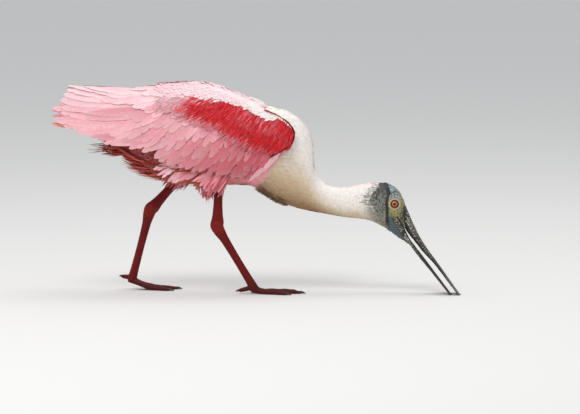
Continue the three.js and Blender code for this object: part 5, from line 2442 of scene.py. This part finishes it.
@dataclass
class Eye:
    """One eyeball with its iris and pupil."""

    side: int
    pupil: float = 0.36
    iris: float = 0.78

    def build(self) -> Piece:
        """The eyeball.

        Returns:
            The eyeball.
        """
        name = "eye_left" if self.side > 0 else "eye_right"
        t, a = np.meshgrid(np.linspace(0, math.pi, 61)[1:-1], turns(48), indexing="ij")
        p = table(np.sin(t) * np.cos(a), np.cos(t) * self.side, np.sin(t) * np.sin(a))
        centre = swing(np.array([[EYE[0], EYE[1] * self.side, EYE[2]]]))[0]
        points, faces = lofted(p * EYE_RADIUS + centre)
        ring = np.concatenate([t.ravel(), [0.0, math.pi]])
        tint = layered(
            Palette.IRIS,
            (Palette.IRIS_RIM, smooth(self.pupil, self.iris, ring)),
            (Palette.PUPIL, smooth(self.pupil + 0.03, self.pupil - 0.03, ring)),
            (Palette.SCLERA, smooth(self.iris - 0.04, self.iris + 0.04, ring)),
        )
        made = mesh_object(name + "_ball", world(points), faces)
        return Piece(dressed(made, EyeFinish(), tint=tint), "eye", (name,))


@dataclass
class Studio:
    """Floor, lights and the camera at the photograph's angle."""

    distance: float = 9.0
    lens: float = 349.0
    elevation: float = 5.0
    aim: tuple = (56.0, 0.0, 136.6)
    floor_half: float = 30.0

    def build(self) -> None:
        """Puts them in the scene."""
        corners = [(-1, -1, 0), (1, -1, 0), (1, 1, 0), (-1, 1, 0)]
        floor = mesh_object("floor", np.array(corners) * self.floor_half, [(0, 1, 2, 3)])
        pale = bpy.data.materials.new("pale_floor")
        pale.use_nodes = True
        n = Nodes(pale.node_tree)
        look = {"Base Color": (0.74, 0.73, 0.70, 1), "Roughness": 0.9}
        n.feed(n.tree.nodes["Principled BSDF"], look)
        floor.data.materials.append(pale)
        aim = Vector(world(np.array(self.aim)))
        rise = math.radians(self.elevation)
        camera = bpy.data.cameras.new("camera")
        camera.lens, camera.clip_end = self.lens, 200
        eye = placed("camera", camera)
        eye.location = aim + self.distance * Vector((0, -math.cos(rise), math.sin(rise)))
        eye.rotation_euler = (math.pi / 2 - rise, 0, 0)
        self.light("key", (-0.9, -1.9, 2.8), 1.4, 50, aim)
        self.light("top", (0.6, 0.6, 3.0), 2.2, 25, aim)
        sky = bpy.data.worlds.new("sky")
        sky.use_nodes = True
        n = Nodes(sky.node_tree)
        n.feed(n.tree.nodes["Background"], {"Color": (0.93, 0.95, 1.0, 1), "Strength": 0.72})
        scene = bpy.context.scene
        scene.camera, scene.world = eye, sky
        scene.view_settings.view_transform = "Standard"

    @staticmethod
    def light(name: str, place: tuple, size: float, power: float, aim: Vector) -> None:
        """One soft lamp that looks at the bird.

        Args:
            name: The lamp's name.
            place: Where it stands.
            size: Its width.
            power: Its power.
            aim: Where it looks.
        """
        lamp = bpy.data.lights.new(name, "AREA")
        lamp.size, lamp.energy = size, power
        made = placed(name, lamp)
        made.location = place
        made.rotation_euler = (aim - Vector(place)).to_track_quat("-Z", "Y").to_euler()


@dataclass
class Spoonbill:
    """The whole bird; each leg is given by its joints from the thigh to the hallux."""

    legs: tuple[Leg, ...] = (
        Leg("right", -1, (-66, -36, 192), (-58, -31, 174), (-60, -31, 107), (0, -30, 7),
            (-31, -24, 3), 0),
        Leg("left", 1, (-112, 37, 198), (-124, 33, 178), (-169, 33, 128), (-198, 38, 17),
            (-219, 36, 22), 10),
    )

    def build(self) -> list[Piece]:
        """Every piece, in order from the skin out.

        Returns:
            The pieces.
        """
        pieces = [Skin().build([leg.thigh_rings() for leg in self.legs])]
        pieces += [Eye(1).build(), Eye(-1).build()]
        parts = (Bill(), *self.legs, Coat(), Tail(), Flank(self.legs))
        for part in (*parts, FoldedWing(-1), FoldedWing(1)):
            pieces += part.build()
        return pieces


def main() -> None:
    """Builds the bird and its studio."""
    logging.basicConfig(level=logging.INFO, format="%(message)s")
    for piece in Spoonbill().build():
        piece.declare()
    Studio().build()


if __name__ == "__main__":
    main()
